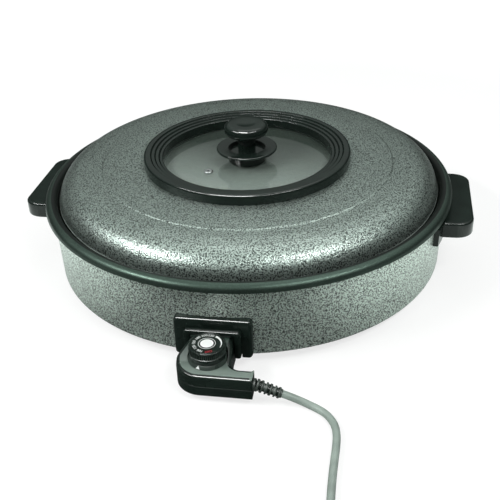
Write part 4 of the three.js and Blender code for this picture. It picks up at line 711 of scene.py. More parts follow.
class MakeStage(bpy.types.Operator):
    """Floor, lamps, background and camera."""

    bl_idname = "skillet.stage"
    bl_label = "Stage"

    def execute(self, context):
        self.place_camera(context)
        self.lay_floor()
        self.hang_lamps()
        self.light_world(context)
        context.scene.view_settings.view_transform = "Standard"
        return {"FINISHED"}

    def place_camera(self, context):
        data = bpy.data.cameras.new("camera")
        data.lens = 61.2
        data.sensor_width = 36
        camera = in_scene("camera", data)
        stands_at = Vector((0.141, -0.790, 0.474))
        looks_at = Vector((-0.0008, -0.0001, -0.012))
        aim = (looks_at - stands_at).to_track_quat("-Z", "Y").to_matrix().to_4x4()
        camera.matrix_world = Matrix.Translation(stands_at) @ aim @ turn(-2.19)
        context.scene.camera = camera

    def lay_floor(self):
        sheet = bmesh.new()
        bmesh.ops.create_circle(sheet, cap_ends=True, segments=96, radius=1.3)
        bmesh.ops.translate(sheet, verts=sheet.verts, vec=(0, 0, (TABLE - 0.2) * MM))
        floor = in_scene("floor", as_mesh("floor", sheet))
        floor.data.materials.append(self.floor_paper())

    def floor_paper(self):
        """Matt white paper that photographs white, takes a soft shadow and is clear from below."""
        paper = bpy.data.materials.new("matt_white_paper")
        paper.use_nodes = True
        tree = paper.node_tree
        tree.nodes.clear()
        seen = self.seen_rays(tree, ["Is Camera Ray", "Is Transmission Ray"])
        mirrored = self.seen_rays(tree, ["Is Glossy Ray"])
        place = add_node(tree, "TexCoord")
        parts = add_node(tree, "SeparateXYZ", {0: place.outputs["Object"]})
        aside = add_node(tree, "Math", {0: parts.outputs["X"]}, operation="ABSOLUTE")
        away = add_node(tree, "VectorMath", {0: place.outputs["Object"]}, operation="LENGTH")
        levels = []
        for span in (
            (away.outputs["Value"], 0.6, 1.2, 0.74, 1.0),
            (aside.outputs[0], 0.12, 0.3, 0.05, 1.3),
            (away.outputs["Value"], 0.35, 0.6, 1.0, 0.1),
        ):
            levels.append(add_node(tree, "MapRange", dict(zip(SPAN, span))).outputs[0])
        level, to_side, to_edge = levels
        plain = add_node(tree, "BsdfDiffuse", {"Color": (0.8, 0.8, 0.8, 1)})
        shadowed = add_node(tree, "BsdfDiffuse", {"Color": (0.3, 0.3, 0.3, 1)})
        glow = add_node(tree, "Emission", {"Color": (1, 1, 1, 1), "Strength": level})
        bright = add_node(tree, "AddShader", {0: shadowed.outputs[0], 1: glow.outputs[0]})
        card = add_node(tree, "Math", {0: to_side, 1: to_edge}, operation="MULTIPLY")
        dim = add_node(tree, "Emission", {"Color": ROOM_TINT, "Strength": card.outputs[0]})
        other = add_node(tree, "MixShader", {0: mirrored, 1: plain.outputs[0], 2: dim.outputs[0]})
        both = add_node(tree, "MixShader", {0: seen, 1: other.outputs[0], 2: bright.outputs[0]})
        face = add_node(tree, "NewGeometry")
        clear = add_node(tree, "BsdfTransparent")
        sides = {0: face.outputs["Backfacing"], 1: both.outputs[0], 2: clear.outputs[0]}
        whole = add_node(tree, "MixShader", sides)
        add_node(tree, "OutputMaterial", {"Surface": whole.outputs[0]})
        return paper

    def seen_rays(self, tree, kinds):
        """One for rays of the given kinds, nought for all others."""
        path = add_node(tree, "LightPath")
        total = path.outputs[kinds[0]]
        for kind in kinds[1:]:
            either = {0: total, 1: path.outputs[kind]}
            total = add_node(tree, "Math", either, operation="MAXIMUM").outputs[0]
        return total

    def hang_lamps(self):
        lamps = [
            ("strip_left", -148, 44, 1.6, (0.8, 0.14), 14),
            ("strip_right", -37, 52, 1.6, (0.9, 0.14), 9.5),
            ("softbox_top", 75, 70, 1.9, (1.6, 1.2), 6),
            ("card_front", -103, 58, 1.6, (1.0, 0.4), 58),
        ]
        for name, azimuth, elevation, distance, size, power in lamps:
            data = bpy.data.lights.new(name, "AREA")
            data.shape = "RECTANGLE"
            data.size, data.size_y = size
            data.energy = power
            data.color = (0.99, 1.0, 0.99)
            lamp = in_scene(name, data)
            around, up = math.radians(azimuth), math.radians(elevation)
            reach = math.cos(up)
            away = Vector((math.cos(around) * reach, math.sin(around) * reach, math.sin(up)))
            aim = (-away).to_track_quat("-Z", "Y").to_matrix().to_4x4()
            lamp.matrix_world = Matrix.Translation(away * distance) @ aim

    def light_world(self, context):
        """White for what looks at it; gloss sees the dim room: darkest low down, mid grey overhead."""
        world = bpy.data.worlds.new("studio")
        world.use_nodes = True
        tree = world.node_tree
        tree.nodes.clear()
        place = add_node(tree, "TexCoord")
        parts = add_node(tree, "SeparateXYZ", {0: place.outputs["Generated"]})
        span_above = (parts.outputs["Z"], 0.32, 0.4, 0.05, 0.34)
        above = add_node(tree, "MapRange", dict(zip(SPAN, span_above)))
        span_overhead = (parts.outputs["Z"], 0.5, 0.8, 0.0, 0.5)
        overhead = add_node(tree, "MapRange", dict(zip(SPAN, span_overhead)))
        height = add_node(tree, "Math", {0: above.outputs[0], 1: overhead.outputs[0]}, operation="ADD")
        seen = self.seen_rays(tree, ["Is Camera Ray", "Is Transmission Ray"])
        mirrored = self.seen_rays(tree, ["Is Glossy Ray"])
        level = add_node(tree, "Mix", {0: mirrored, 2: 0.34, 3: height.outputs[0]})
        strength = add_node(tree, "Mix", {0: seen, 2: level.outputs[0], 3: 1.0})
        tint = add_node(tree, "Mix", {0: seen, 6: ROOM_TINT, 7: (1, 1, 1, 1)}, data_type="RGBA")
        sky = add_node(tree, "Background", {"Color": tint.outputs[2], "Strength": strength.outputs[0]})
        add_node(tree, "OutputWorld", {"Surface": sky.outputs[0]})
        context.scene.world = world


# Cord

def coil_points():
    """Centre line of the coil: in on the table, up a layer, and out again on top."""
    end_x, end_y, _ = CORD_ROUTE[-1]
    middle = COIL_TURNS / 2
    inner = COIL_RADIUS - COIL_PITCH * middle / 2
    outer = COIL_RADIUS + COIL_PITCH * middle / 2
    centre = Vector((end_x - outer, end_y - GAP))
    points = []
    steps = 24
    for step in range(round(COIL_TURNS * steps) + 1):
        turns = step / steps
        radius = inner + COIL_PITCH * abs(turns - middle)
        rise = min(max((turns - middle + 0.25) / 0.5, 0), 1)
        height = COIL_HEIGHT + COIL_PITCH * rise * rise * (3 - 2 * rise)
        angle = -math.tau * turns
        points.append((centre.x + radius * math.cos(angle), centre.y + radius * math.sin(angle), height))
    return points


def tail_points():
    """Centre line of the tail, from the coil's end down to the plug."""
    end = coil_points()[-1]
    return [(end[0] - back, end[1], end[2] + rise) for back, rise in TAIL_ROUTE]


class MakeCord(bpy.types.Operator):
    """Mains cord, coiled as for storage, with its tie and plug."""

    bl_idname = "skillet.cord"
    bl_label = "Mains cord"

    def execute(self, context):
        plug = self.make_plug()
        dress("moulded_rubber", "cord_tie")
        points = CORD_START + CORD_ROUTE + coil_points()[1:] + tail_points()[1:]
        data = bpy.data.curves.new("mains_lead", "CURVE")
        data.dimensions = "3D"
        data.bevel_depth = CORD_RADIUS * MM
        data.bevel_resolution = 5
        data.resolution_u = 4
        data.use_fill_caps = True
        line = data.splines.new("BEZIER")
        line.bezier_points.add(len(points) - 1)
        for knot, point in zip(line.bezier_points, points):
            knot.co = Vector(point) * MM
            knot.handle_left_type = knot.handle_right_type = "AUTO"
        data.materials.append(finish("extruded_pvc_cord"))
        lead = in_scene("mains_lead", data)
        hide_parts("mains_cord", "cord_coil", "plug_tail")
        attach(lead, "control")
        return {"FINISHED"}

    def make_plug(self):
        """Moulded two-pin plug with a stepped grip, lying on the table on its disc and its nose."""
        nose, disc, disc_back = 4.6, 18.6, 53
        outline = rounded([
            (0, 0), (nose, 0, 1.2), (6.5, 26, 2), (9, 28, 2), (13.5, 51, 2), (disc, disc_back, 2),
            (disc, 62, 2), (0, 62),
        ])
        body = turned(outline, 64)
        pins = []
        for side in (-1, 1):
            pin = turned(rounded([(0, 57), (2.4, 57), (2.4, 81, 1.2), (0, 81)]), 24)
            paint_faces(pin, 1, lambda middle, normal: True)
            pins.append(moved(pin, shift(x=side * 9.5)))
        tilt = math.atan2(disc - nose, disc_back)
        start = tail_points()[-1]
        lying = turn(math.degrees(tilt) - 90, "Y")
        place = shift(start[0] - 0.6, start[1], TABLE + nose * math.cos(tilt) + 0.15)
        whole = moved(together(body, *pins), lying, place)
        coats = ["grained_phenolic", "plated_steel"]
        return put("moulded_plug", whole, coats, "control", "mains_plug")


# Pan and wall

class MakePan(bpy.types.Operator):
    """Pressed pan with the ledge that carries the lid and the rolled rim."""

    bl_idname = "skillet.pan"
    bl_label = "Pan"

    def execute(self, context):
        outline = sheet_outline([
            (0, FLOOR_TOP), (WALL_RADIUS - 1.8, FLOOR_TOP, 18), (WALL_RADIUS, SEAT_HEIGHT, 2.4),
            (WALL_RADIUS + 9.4, SEAT_HEIGHT, 2.4), (WALL_RADIUS + 10.8, LIP_TOP, 5),
            (RIM_RADIUS - 1.6, LIP_TOP, 6.4), (RIM_RADIUS, SEAT_HEIGHT),
        ], PAN_SHEET)
        body = turned(outline, sizes().large_facets)
        # the ledge and the lip's inner slope, inside the trough radius, take the darkened rim coat as
        # painted shade
        inside, trough = WALL_RADIUS - 0.3, WALL_RADIUS + 16
        paint_faces(body, 2, lambda middle, normal: middle.xy.length < trough)
        paint_faces(body, 1, lambda middle, normal: middle.xy.length < inside)
        coats = ["satin_ptfe_rim", "satin_ptfe_inside", "satin_ptfe_trough"]
        put("pressed_pan", body, coats, "base", "cooking_pan")
        return {"FINISHED"}


def hood_opening(bottom, near, far):
    """Cutter that leaves room for the inverted U round the control's neck."""
    side, top = SHROUD_HALF_WIDTH + GAP, SHROUD_TOP + GAP
    outline = rounded([(-side, bottom), (side, bottom), (side, top, 3), (-side, top, 3)])
    return run_forward(outline, near, far)


def wall_cone(gap):
    """The wall's outer face as a solid cone, for cutting what lies against it."""
    lean = (SHELL_TOP_RADIUS - SHELL_BOTTOM_RADIUS) / SHELL_TOP
    low, high = -11, 81
    return turned([
        (0, low), (SHELL_BOTTOM_RADIUS + lean * low + gap, low),
        (SHELL_BOTTOM_RADIUS + lean * high + gap, high), (0, high),
    ], sizes().large_facets)


class MakeWall(bpy.types.Operator):
    """Outer wall of painted sheet, with the opening for the socket."""

    bl_idname = "skillet.wall"
    bl_label = "Outer wall"

    def execute(self, context):
        outline = sheet_outline([
            (SHELL_TOP_RADIUS, SHELL_TOP), (SHELL_BOTTOM_RADIUS, 0, 3.2),
            (SHELL_BOTTOM_RADIUS - 14, 0),
        ], SHELL_SHEET)
        opening = hood_opening(4.2, 173, SHELL_TOP_RADIUS + 2)
        body = combined(turned(outline, sizes().large_facets), opening)
        put("outer_wall", body, ["hammertone_enamel_wall"], "base", "outer_shell")
        return {"FINISHED"}


class MakeBase(bpy.types.Operator):
    """Pressed base plate and its four rubber feet, and the finish of what lies inside."""

    bl_idname = "skillet.base"
    bl_label = "Base"

    def execute(self, context):
        rim = SHELL_BOTTOM_RADIUS - 3.6
        outline = sheet_outline([
            (rim, 1.5), (123, 1.5, 1), (120, 0, 1), (0, 0),
        ], BASE_SHEET)
        bores = [moved(upright(FOOT_RING, 0, 2.5, -2, 5), turn(angle)) for angle in FOOT_ANGLES]
        plate = combined(turned(outline, 128), together(*bores))
        put("base_cover", plate, ["aluminised_steel"], "base", "base_plate")
        for index, angle in enumerate(FOOT_ANGLES):
            self.make_foot(index + 1, angle)
        dress("aluminised_steel", "heat_shield", *numbered("element_clamp", 3))
        dress("plated_steel", *numbered("base_stud", 4))
        dress("oxidised_sheath", "heating_element")
        return {"FINISHED"}

    def make_foot(self, number, angle):
        outline = rounded([
            (0, TABLE + 0.8), (5, TABLE + 0.8, 0.5), (5.8, TABLE, 0.5), (9.5, TABLE, 1.2),
            (11, 1.2, 0.4), (2.5, 1.2), (2.5, -5.3), (0, -5.3),
        ])
        foot = moved(turned(outline, 48), shift(x=FOOT_RING), turn(angle))
        put(f"rubber_foot_{number}", foot, ["moulded_rubber"], "base", f"foot_{number}")


# Socket

class MakeSocket(bpy.types.Operator):
    """Bevelled frame on the wall and the inverted U round the control's neck."""

    bl_idname = "skillet.socket"
    bl_label = "Socket"

    def execute(self, context):
        self.make_frame()
        self.make_shroud()
        dress("fired_steatite", "terminal_plate")
        dress("nickelled_brass", *sided("terminal_pin"), "probe_sleeve", "earth_strap")
        dress("plated_steel", *sided("socket_screw"))
        return {"FINISHED"}

    def make_frame(self):
        """Frame with a bevelled front, fitted to the wall's cone."""
        bevel = 3
        body = raised(rounded(rectangle(-35, 2, 35, 42, 4)), PLATE_FRONT, FRAME_FRONT - bevel)
        crown(body, (0, 0, 1), bevel, 3)
        moved(body, FORWARD)
        opening = hood_opening(0, PLATE_FRONT - 4, FRAME_FRONT + 2)
        bores = [rod(x, 20, 1.9, PLATE_FRONT - 2, 205.3, 16) for x in (-30, 30)]
        body = combined(combined(body, wall_cone(GAP)), together(opening, *bores))
        put("socket_bezel", body, ["polished_phenolic"], "base", "socket_frame")

    def make_shroud(self):
        """Inverted U whose front edge is rounded."""
        inner = SHROUD_HALF_WIDTH - 6
        ceiling = SHROUD_TOP - 5
        outline = rounded([
            (-SHROUD_HALF_WIDTH, 4.5, 2.4), (-inner, 4.5, 2.4), (-inner, ceiling, 0.6),
            (inner, ceiling, 0.6), (inner, 4.5, 2.4), (SHROUD_HALF_WIDTH, 4.5, 2.4),
            (SHROUD_HALF_WIDTH, SHROUD_TOP, 3), (-SHROUD_HALF_WIDTH, SHROUD_TOP, 3),
        ])
        round_over = 1.5
        body = raised(outline, PLATE_FRONT + GAP, SHROUD_FRONT - round_over)
        crown(body, (0, 0, 1), round_over, 3)
        moved(body, FORWARD)
        put("socket_hood", body, ["polished_phenolic"], "base", "socket_shroud")


class MakeHandles(bpy.types.Operator):
    """Moulded side handles and the brackets behind them."""

    bl_idname = "skillet.handles"
    bl_label = "Handles"

    def execute(self, context):
        for name, angle in (("left", 180), ("right", 0)):
            self.make_handle(name, angle)
        dress("polished_phenolic", *sided("handle_bracket"))
        return {"FINISHED"}

    def make_handle(self, name, angle):
        half, reach, low, high, corner = 56, 230, 48, 64.5, 16
        round_over, stud_height = 2.4, 57.5
        outline = rounded([
            (173, -half), (reach - corner, -half, 2), (reach, -half + 3, corner),
            (reach, half - 3, corner), (reach - corner, half, 2), (173, half),
        ])
        body = raised(outline, low + round_over, high - round_over)
        crown(body, (0, 0, 1), round_over)
        crown(body, (0, 0, -1), round_over)
        bores = []
        for side in (-26, 26):
            bore = rod(0, 0, 2.5, 173, 219.3, 24)
            bores.append(moved(bore, turn(90), shift(y=side, z=stud_height)))
        body = combined(combined(body, wall_cone(5.2)), together(*bores))
        paint_faces(body, 1, lambda middle, normal: abs(normal.z) < 0.98)
        moved(body, turn(angle))
        coats = ["grained_phenolic", "polished_phenolic"]
        put(f"side_grip_{name}", body, coats, "base", f"handle_{name}")


# Lid

def put_on_lid(name, body, finishes, stands_for):
    """Makes a piece of the lid of a body whose heights are counted from the lid's base."""
    put(name, moved(body, shift(z=LID_BASE)), finishes, "lid", stands_for)


class MakeLid(bpy.types.Operator):
    """Spun lid with its flat crown, embossed circle, steep shoulder and rolled edge bead."""

    bl_idname = "skillet.lid"
    bl_label = "Lid"

    def execute(self, context):
        face = rounded([
            (HOLE_RADIUS, LID_SEAT), (SEAT_RADIUS, LID_SEAT, 12), (127, 27.95, 40),
            (148.4, 27.6, 0.9), (149.8, 26.7, 0.9), (160, 26.4, 30), (172.2, 25.24),
        ], closed=False)
        shoulder = arc((167.5, 1.6), 27.1, 24, range(75, 0, -5))
        top = face + shoulder
        back = [Vector(point[:2]) for point in offset([tuple(point) for point in top], LID_SHEET)]
        bead = arc((194, 1.3), 1.3, 1.3, range(30, -211, -15))
        body = turned(top + bead + back[::-1], sizes().large_facets)
        # the bead's outer faces take a pale coat, a painted highlight line
        paint_faces(body, 1, lambda middle, normal: middle.z < 2.4 and normal.xy.dot(middle.xy) > 0)
        coats = ["hammertone_enamel_lid", "bright_enamel_edge"]
        put_on_lid("lid_dome", body, coats, "lid_shell")
        return {"FINISHED"}


def glass_top(distance):
    """Height of the glass above the lid's base at a distance from the middle."""
    share = min(distance / DOME_RADIUS, 1)
    return GLASS_EDGE_TOP + GLASS_DOME * (1 - share ** 2)


def vent_place():
    """Where the vent stands in plan."""
    angle = math.radians(VENT_ANGLE)
    return VENT_REACH * math.cos(angle), VENT_REACH * math.sin(angle)


class MakeWindow(bpy.types.Operator):
    """Stepped ring, glass with a slight dome, gasket, clamp ring and steam vent."""

    bl_idname = "skillet.window"
    bl_label = "Window"

    def execute(self, context):
        self.make_ring()
        self.make_glass()
        self.make_gasket()
        self.make_clamp_ring()
        self.make_vent()
        return {"FINISHED"}

    def make_ring(self):
        """Ring whose top climbs outwards in three steps, with a groove at the foot of each."""
        inner_top = RING_TOP - 3 * RING_STEP
        groove = 0.8
        steps = []
        for index in range(3):
            radius = 90.5 + index * 4.2
            steps.append((radius - 0.8, inner_top + index * RING_STEP, 0.2))
            steps.append((radius - 0.4, inner_top + index * RING_STEP - groove))
            steps.append((radius + 0.5, inner_top + (index + 1) * RING_STEP, 0.4))
        outline = rounded([
            (RING_INNER + 0.8, THROAT_BOTTOM), (RING_INNER, inner_top, 1), *steps,
            (RING_OUTER, RING_TOP, 2.6), (RING_OUTER, LID_SEAT + GAP),
            (HOLE_RADIUS - GAP, LID_SEAT + GAP), (HOLE_RADIUS - GAP, THROAT_BOTTOM),
        ])
        body = turned(outline, sizes().large_facets)
        put_on_lid("stepped_ring", body, ["polished_phenolic"], "window_ring")

    def make_glass(self):
        """Glass with one hole for the knob's screw and one for the vent."""
        radii = [DOME_RADIUS * step / 12 for step in range(13)]
        face = [(radius, glass_top(radius)) for radius in radii] + [(GLASS_RADIUS, GLASS_EDGE_TOP)]
        back = [(radius, height - GLASS_THICKNESS) for radius, height in reversed(face)]
        bores = together(upright(0, 0, 2.7, 18, 32), upright(*vent_place(), 2.7, 18, 32))
        body = combined(turned(face + back, 128), bores)
        put_on_lid("domed_glass", body, ["toughened_glass"], "window_glass")

    def make_gasket(self):
        """Gasket of channel section that grips the glass's edge."""
        inner, outer, top, low, wall = 88.5, 96.2, GASKET_TOP, GASKET_LOW, 1.2
        outline = rounded([
            (inner, top, 0.3), (outer, top, 0.5), (outer, low, 0.5), (inner, low, 0.3),
            (inner, low + wall, 0.3), (outer - wall, low + wall), (outer - wall, top - wall),
            (inner, top - wall, 0.3),
        ])
        body = turned(outline, 128)
        put_on_lid("channel_gasket", body, ["cast_silicone"], "window_gasket")

    def make_clamp_ring(self):
        """Bent sheet ring that holds the gasket up against the stepped ring."""
        top = LID_SEAT - LID_SHEET - GAP - CLAMP_SHEET
        low = GASKET_LOW - GAP - CLAMP_SHEET
        outline = sheet_outline([
            (104.4, top), (98.4, top, 1.0), (98.4, low, 1.0), (89.5, low),
        ], CLAMP_SHEET)
        body = turned(outline, 128)
        put_on_lid("clamp_ring", body, ["aluminised_steel"], "window_clamp_ring")

    def make_vent(self):
        """Eyelet pressed through the glass: a flange on top, a neck and a smaller flange below."""
        top = glass_top(VENT_REACH - 3.5) + GAP
        low = glass_top(VENT_REACH + 3.5) - GLASS_THICKNESS - GAP
        outline = rounded([
            (1.5, top + 1.3, 0.4), (4.6, top + 1.3, 1.3), (4.6, top), (2.4, top), (2.4, low),
            (3.5, low), (3.5, low - 0.9, 0.9), (1.5, low - 0.9, 0.4),
        ])
        body = moved(turned(outline, 32), shift(*vent_place()))
        put_on_lid("vent_eyelet", body, ["aluminised_steel"], "steam_vent")


class MakeKnob(bpy.types.Operator):
    """Knob with its shallow dimple, and the flanged stand under it."""

    bl_idname = "skillet.knob"
    bl_label = "Knob"

    def execute(self, context):
        top, bottom = 66.3, 36.5
        grip = turned(rounded([
            (0, top - 0.8), (10, top, 5), (22.3, top, 5), (22.3, top - 11.6, 5),
            (9, top - 12.4, 3), (9, bottom), (2.7, bottom), (2.7, 52.3), (0, 52.3),
        ], fineness=6), 96)
        stand = turned(rounded([
            (2.7, 25.5), (19, 25.5, 0.8), (20.5, 37.6, 1.2), (31, 37.6, 1.2), (31, 40.6, 1.2),
            (18.6, 40.0, 0.8), (18.6, 36.2), (2.7, 36.2),
        ]), 96)
        for name, body, node in (("knob_grip", grip, "knob"), ("knob_stand", stand, "knob_base")):
            put_on_lid(name, body, ["polished_phenolic"], node)
        dress("cast_silicone", "knob_washer")
        dress("plated_steel", "knob_screw")
        return {"FINISHED"}


# Control

def control_plan():
    """The control seen from above, from one side of its neck round to the other."""
    return [
        (-19, -CONTROL_BACK), (-19, -213, 8), (-27.3, -DIAL_REACH, 8),
        (-27.3, -CONTROL_FRONT, 25), (CONTROL_END, -CONTROL_FRONT, 0.5), (CONTROL_END, -240, 0.5),
        (21.5, -240, 9), (19, -213, 8), (19, -CONTROL_BACK),
    ]


def control_profile():
    """The control seen from the side: neck, ramp and deck."""
    return [
        (-CONTROL_BACK + 2, CONTROL_BOTTOM), (-CONTROL_BACK + 2, 27), (-214, 27, 2.6),
        (-236, DECK, 2.6), (-CONTROL_FRONT - 2, DECK), (-CONTROL_FRONT - 2, CONTROL_BOTTOM),
    ]


def on_deck(middle, normal):
    """Whether a face lies on the flat deck or on the ramp behind it, not on the edge round them."""
    ramp = normal.z > 0.9 and abs(normal.x) < 0.02 and middle.y > -238
    return middle.z >= DECK - 0.2 and (ramp or normal.z > 0.995)


def control_form():
    """The control's outer form, still sharp between its deck and its sides."""
    plan = raised(rounded(control_plan(), fineness=6), -5, 30)
    profile = run_sideways(rounded(control_profile(), fineness=6), -30, 45)
    return combined(plan, profile, "INTERSECT")


def slab(low, high):
    """A slice wider than the control, for keeping what lies between two heights."""
    return raised([(-60, -190), (-60, -270), (60, -270), (60, -190)], low, high)


def neck_holes():
    """Holes in the neck for the two receptacles and the probe."""
    places = [(-11, 11, 2.6), (11, 11, 2.6), (0, PROBE_HEIGHT, 2.8)]
    return [rod(*place, 200, 206, 24) for place in places]


class MakeControl(bpy.types.Operator):
    """Two-part housing of the control, its sleeve on the cord and what it holds."""

    bl_idname = "skillet.control"
    bl_label = "Control housing"

    def execute(self, context):
        self.make_upper()
        self.make_lower()
        self.make_sleeve()
        self.make_probe()
        dress("plated_steel", *numbered("housing_screw", 2))
        dress("nickelled_brass", *sided("receptacle"))
        dress("fired_steatite", "thermostat_switch", "terminal_block")
        return {"FINISHED"}

    def make_upper(self):
        """Cover with the deck, the ramp and the dial's well, its upper edges rounded."""
        form = combined(control_form(), slab(SEAM + GAP / 2, 40), "INTERSECT")
        body = combined(form, together(upright(0, -DIAL_REACH, DIAL_WELL, DECK, 40, 96), *neck_holes()))
        upper_edges = []
        for edge in body.edges:
            if len(edge.link_faces) == 2 and edge.calc_face_angle(0) > math.radians(50):
                heights = [vert.co.z for vert in edge.verts]
                reach = [vert.co.xy - Vector((0, -DIAL_REACH)) for vert in edge.verts]
                in_well = all(abs(spot.length - DIAL_WELL) < 0.05 for spot in reach)
                at_end = min(vert.co.x for vert in edge.verts) > CONTROL_END - 0.1
                in_front = max(vert.co.y for vert in edge.verts) < -204
                if min(heights) > SEAM + 3 and in_front and not in_well and not at_end:
                    upper_edges.append(edge)
        bevel_edges(body, upper_edges, 3.4, 6)
        # deck and ramp take the satin coat whose colour carries a painted sheen
        paint_faces(body, 1, on_deck)
        coats = ["polished_phenolic", "satin_deck_coat"]
        put("control_cover", body, coats, "control", "control_upper")

    def make_lower(self):
        """Tray with sunk screw places, its edge broken along the seam."""
        form = combined(control_form(), slab(-5, SEAM - GAP / 2), "INTERSECT")
        screws = [(-14, -242.6), (32, -247.2)]
        sinks = [upright(*place, 2.9, -5, CONTROL_BOTTOM + 2.1) for place in screws]
        body = combined(form, together(*sinks))
        seam_edges = []
        for edge in body.edges:
            on_seam = min(vert.co.z for vert in edge.verts) > SEAM - 0.2
            in_front = max(vert.co.y for vert in edge.verts) < -206
            if on_seam and in_front and edge.calc_face_angle(0) > math.radians(50):
                seam_edges.append(edge)
        bevel_edges(body, seam_edges, 0.7, 1)
        coats = ["polished_phenolic"]
        put("control_tray", body, coats, "control", "control_lower")

    def make_sleeve(self):
        """Slotted sleeve on the cord: rings held by bars that stand a quarter turn apart in each row."""
        length, rows = 23, 5
        pitch = length / (rows + 1)
        outline = [(3.4, 0)]
        for row in range(rows + 1):
            low, crest = row * pitch, 5.6 - 0.14 * row
            outline += [(crest, low + 0.1, 0.7), (crest, low + 0.5 * pitch, 0.7)]
            outline += [(crest - 1.0, low + 0.6 * pitch, 0.3), (crest - 1.0, low + pitch - 0.2, 0.3)]
        cover = turned(rounded([*outline, (3.4, length)]), 48)
        slots = []
        for row in range(rows):
            low = (row + 0.62) * pitch
            across = raised(rectangle(-8, -3.9, 8, 3.9), low, low + pitch * 0.55)
            slots.append(moved(across, turn(90 * row + 45)))
        cover = combined(cover, combined(together(*slots), upright(0, 0, 3.7, -1, length + 1)))
        # painted shade: the windows' floors at the core take black plastic
        paint_faces(cover, 1, lambda middle, normal: 3.5 < middle.xy.length < 3.75)
        moved(cover, turn(17.5, "Y"), shift(z=2.5))
        root = turned(rounded([
            (0, -3.9), (4.2, -3.9), (4.2, -2.3), (3.4, -2.3), (3.4, 0.3), (5.4, 0.3, 0.4),
            (5.4, 2.5, 0.4), (0, 2.5),
        ]), 48)
        body = moved(together(root, cover), turn(90, "Y"), turn(-2), shift(CONTROL_END, -248, 8.6))
        coats = ["soft_pvc_sleeve", "polished_phenolic"]
        put("cord_sleeve", body, coats, "control", "strain_relief")

    def make_probe(self):
        outline = rounded([(0, 100), (2.5, 100, 2), (2.5, 220.6), (0, 220.6)])
        body = moved(turned(outline, 32), FORWARD, shift(z=PROBE_HEIGHT))
        put("sensor_rod", body, ["plated_steel"], "control", "probe_rod")


FONT_PER_HEIGHT = 1.6  # size of the font for a numeral one high


class MakeDial(bpy.types.Operator):
    """Collar with its pointer, ribbed dial and the printed disc on top."""

    bl_idname = "skillet.dial"
    bl_label = "Dial"

    def execute(self, context):
        self.make_collar()
        self.make_dial()
        self.make_disc()
        dress("plated_steel", "dial_spindle")
        return {"FINISHED"}

    def at_dial(self, body):
        """The body moved from the Z axis to the dial's."""
        return moved(body, shift(y=-DIAL_REACH))

    def make_collar(self):
        """Sloping ring with a white pointer printed on its slope."""
        outline = rounded([
            (3.3, 17.8), (17.2, 17.8), (17.2, 18.4, 0.3), (15.8, 20.8, 0.3), (3.3, 20.8),
        ])
        body = self.at_dial(turned(outline, 96))
        put("dial_ring", body, ["satin_phenolic"], "control", "dial_collar")
        slope = turn(math.degrees(math.atan2(2.4, 1.4)), "X")
        pointer = raised([(-1.9, -1.4), (1.9, -1.4), (0, 1.4)], -0.1, 0.08)
        self.at_dial(moved(pointer, slope, shift(0, -16.54, 19.6), turn(-19)))
        put("pointer_mark", pointer, ["white_ink"], "control")

    def make_dial(self):
        """Dial with a band of ribs round its widest part and a sunk bed for the printed disc."""
        wide, narrow = 16.1, 15.5
        outline = rounded([
            (0, 33.0), (13.9, 33.0), (14.2, DIAL_TOP, 0.15), (narrow, DIAL_TOP, 0.5),
            (wide, 32.6, 0.3), (wide, 31.7), (wide, 26.6), (narrow, 26.3), (narrow, 21.3, 0.4),
            (3.3, 21.3), (3.3, 30.3), (0, 30.3),
        ], fineness=20)
        body = turned(outline, sizes().dial_ribs)
        band = []
        for face in body.faces:
            middle = face.calc_center_median()
            if 26.7 < middle.z < 31.6 and middle.xy.length > wide - 0.2:
                band.append(face)
        hollow = {"thickness": 0.4, "depth": -0.6, "use_even_offset": True}
        # painted highlight: the faces the inset makes on the rib band take the lighter collar plastic
        for face in bmesh.ops.inset_individual(body, faces=band, **hollow)["faces"]:
            face.material_index = 1
        self.at_dial(body)
        coats = ["polished_phenolic", "satin_phenolic"]
        put("ribbed_dial", body, coats, "dial", "dial")

    def make_disc(self):
        """Disc with a printed hub and ring, the widening band, the scale and the off mark."""
        outline = rounded([(0, 33.1), (13.8, 33.1), (13.8, DIAL_TOP, 0.2), (0, DIAL_TOP)])
        disc = self.at_dial(turned(outline, 96))
        put("dial_face", disc, ["polished_phenolic"], "dial", "dial_cap")
        ink = [
            turned(rectangle(0, INK_LOW, 5.7, INK_TOP), 48),
            turned(rectangle(7.1, INK_LOW, 7.5, INK_TOP), 64),
            self.arc_band(-20, 60),
        ]
        scale = {"100": 250, "120": 215, "150": 180, "180": 145, "200": 112, "230": 82}
        for label, angle in scale.items():
            ink.append(self.numeral(label, angle))
        marks = self.at_dial(together(*ink))
        put("dial_scale", marks, ["white_ink"], "dial")
        stop = self.at_dial(self.numeral("OFF", 288))
        put("dial_off_mark", stop, ["red_ink"], "dial")

    def arc_band(self, first, last):
        """Printed band that widens along the scale."""
        outer = [(12.9, math.radians(a)) for a in range(first, last + 1, 5)]
        inner = [(12.6 - 1.9 * i / (len(outer) - 1), a) for i, (_, a) in enumerate(outer)]
        points = outer + inner[::-1]
        return raised([(r * math.cos(a), r * math.sin(a)) for r, a in points], INK_LOW, INK_TOP)

    def numeral(self, label, angle):
        """A printed number or word, its foot towards the dial's middle."""
        text = bpy.data.curves.new("numeral", "FONT")
        text.body = label
        text.size = sizes().numeral_height / MM * FONT_PER_HEIGHT
        text.align_x = "CENTER"
        text.align_y = "CENTER"
        text.extrude = (INK_TOP - INK_LOW) / 2
        text.resolution_u = 3
        holder = in_scene("numeral", text)
        graph = bpy.context.evaluated_depsgraph_get()
        mesh = bpy.data.meshes.new_from_object(holder.evaluated_get(graph))
        letters = bmesh.new()
        letters.from_mesh(mesh)
        bpy.data.meshes.remove(mesh)
        bpy.data.objects.remove(holder)
        bpy.data.curves.remove(text)
        bmesh.ops.remove_doubles(letters, verts=letters.verts, dist=0.0005)
        return moved(letters, shift(0, 11.2, (INK_LOW + INK_TOP) / 2), turn(angle - 90))


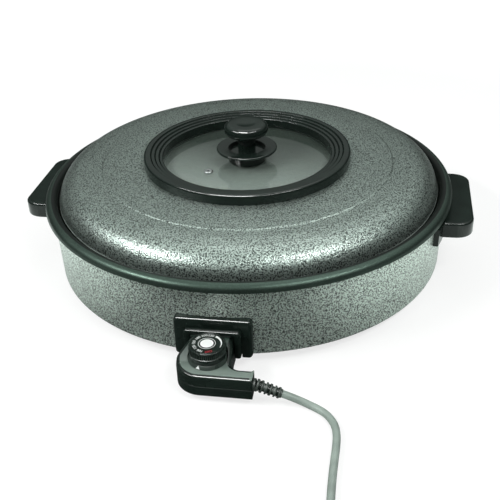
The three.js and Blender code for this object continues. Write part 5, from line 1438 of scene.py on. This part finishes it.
class MakeCard(bpy.types.Operator):
    """The card in front is flagged so that only black plastic mirrors it."""

    bl_idname = "skillet.card"
    bl_label = "Front card"

    def execute(self, context):
        glossy = bpy.data.collections.new("mirrors_the_card")
        for piece in context.scene.objects:
            coats = piece.data.materials if piece.type == "MESH" else []
            if any(coat and "phenolic" in coat.name for coat in coats):
                glossy.objects.link(piece)
        card = bpy.data.objects["card_front"]
        card.light_linking.receiver_collection = glossy
        card.visible_diffuse = False
        return {"FINISHED"}


class SkilletPanel(bpy.types.Panel):
    """Shows the skillet's colours, sizes and building steps in the sidebar."""

    bl_idname = "VIEW3D_PT_skillet"
    bl_label = "Electric skillet"
    bl_space_type = "VIEW_3D"
    bl_region_type = "UI"
    bl_category = "Skillet"

    def draw(self, context):
        for settings in (context.scene.skillet_colours, context.scene.skillet_sizes):
            for name in settings.__annotations__:
                self.layout.prop(settings, name)
        for operator in OPERATORS:
            self.layout.operator(operator.bl_idname)


OPERATORS = [
    MakeStage,
    MakeCord,
    MakePan,
    MakeWall,
    MakeBase,
    MakeSocket,
    MakeHandles,
    MakeLid,
    MakeWindow,
    MakeKnob,
    MakeControl,
    MakeDial,
    MakeCard,
]
CLASSES = [SkilletColours, SkilletSizes, *OPERATORS, SkilletPanel]


def register():
    for item in CLASSES:
        bpy.utils.register_class(item)
    bpy.types.Scene.skillet_colours = PointerProperty(type=SkilletColours)
    bpy.types.Scene.skillet_sizes = PointerProperty(type=SkilletSizes)


def unregister():
    del bpy.types.Scene.skillet_sizes
    del bpy.types.Scene.skillet_colours
    for item in reversed(CLASSES):
        bpy.utils.unregister_class(item)


def main():
    register()
    bpy.ops.skillet.stage()
    bpy.ops.skillet.cord()
    bpy.ops.skillet.pan()
    bpy.ops.skillet.wall()
    bpy.ops.skillet.base()
    bpy.ops.skillet.socket()
    bpy.ops.skillet.handles()
    bpy.ops.skillet.lid()
    bpy.ops.skillet.window()
    bpy.ops.skillet.knob()
    bpy.ops.skillet.control()
    bpy.ops.skillet.dial()
    bpy.ops.skillet.card()


if __name__ == "__main__":
    main()
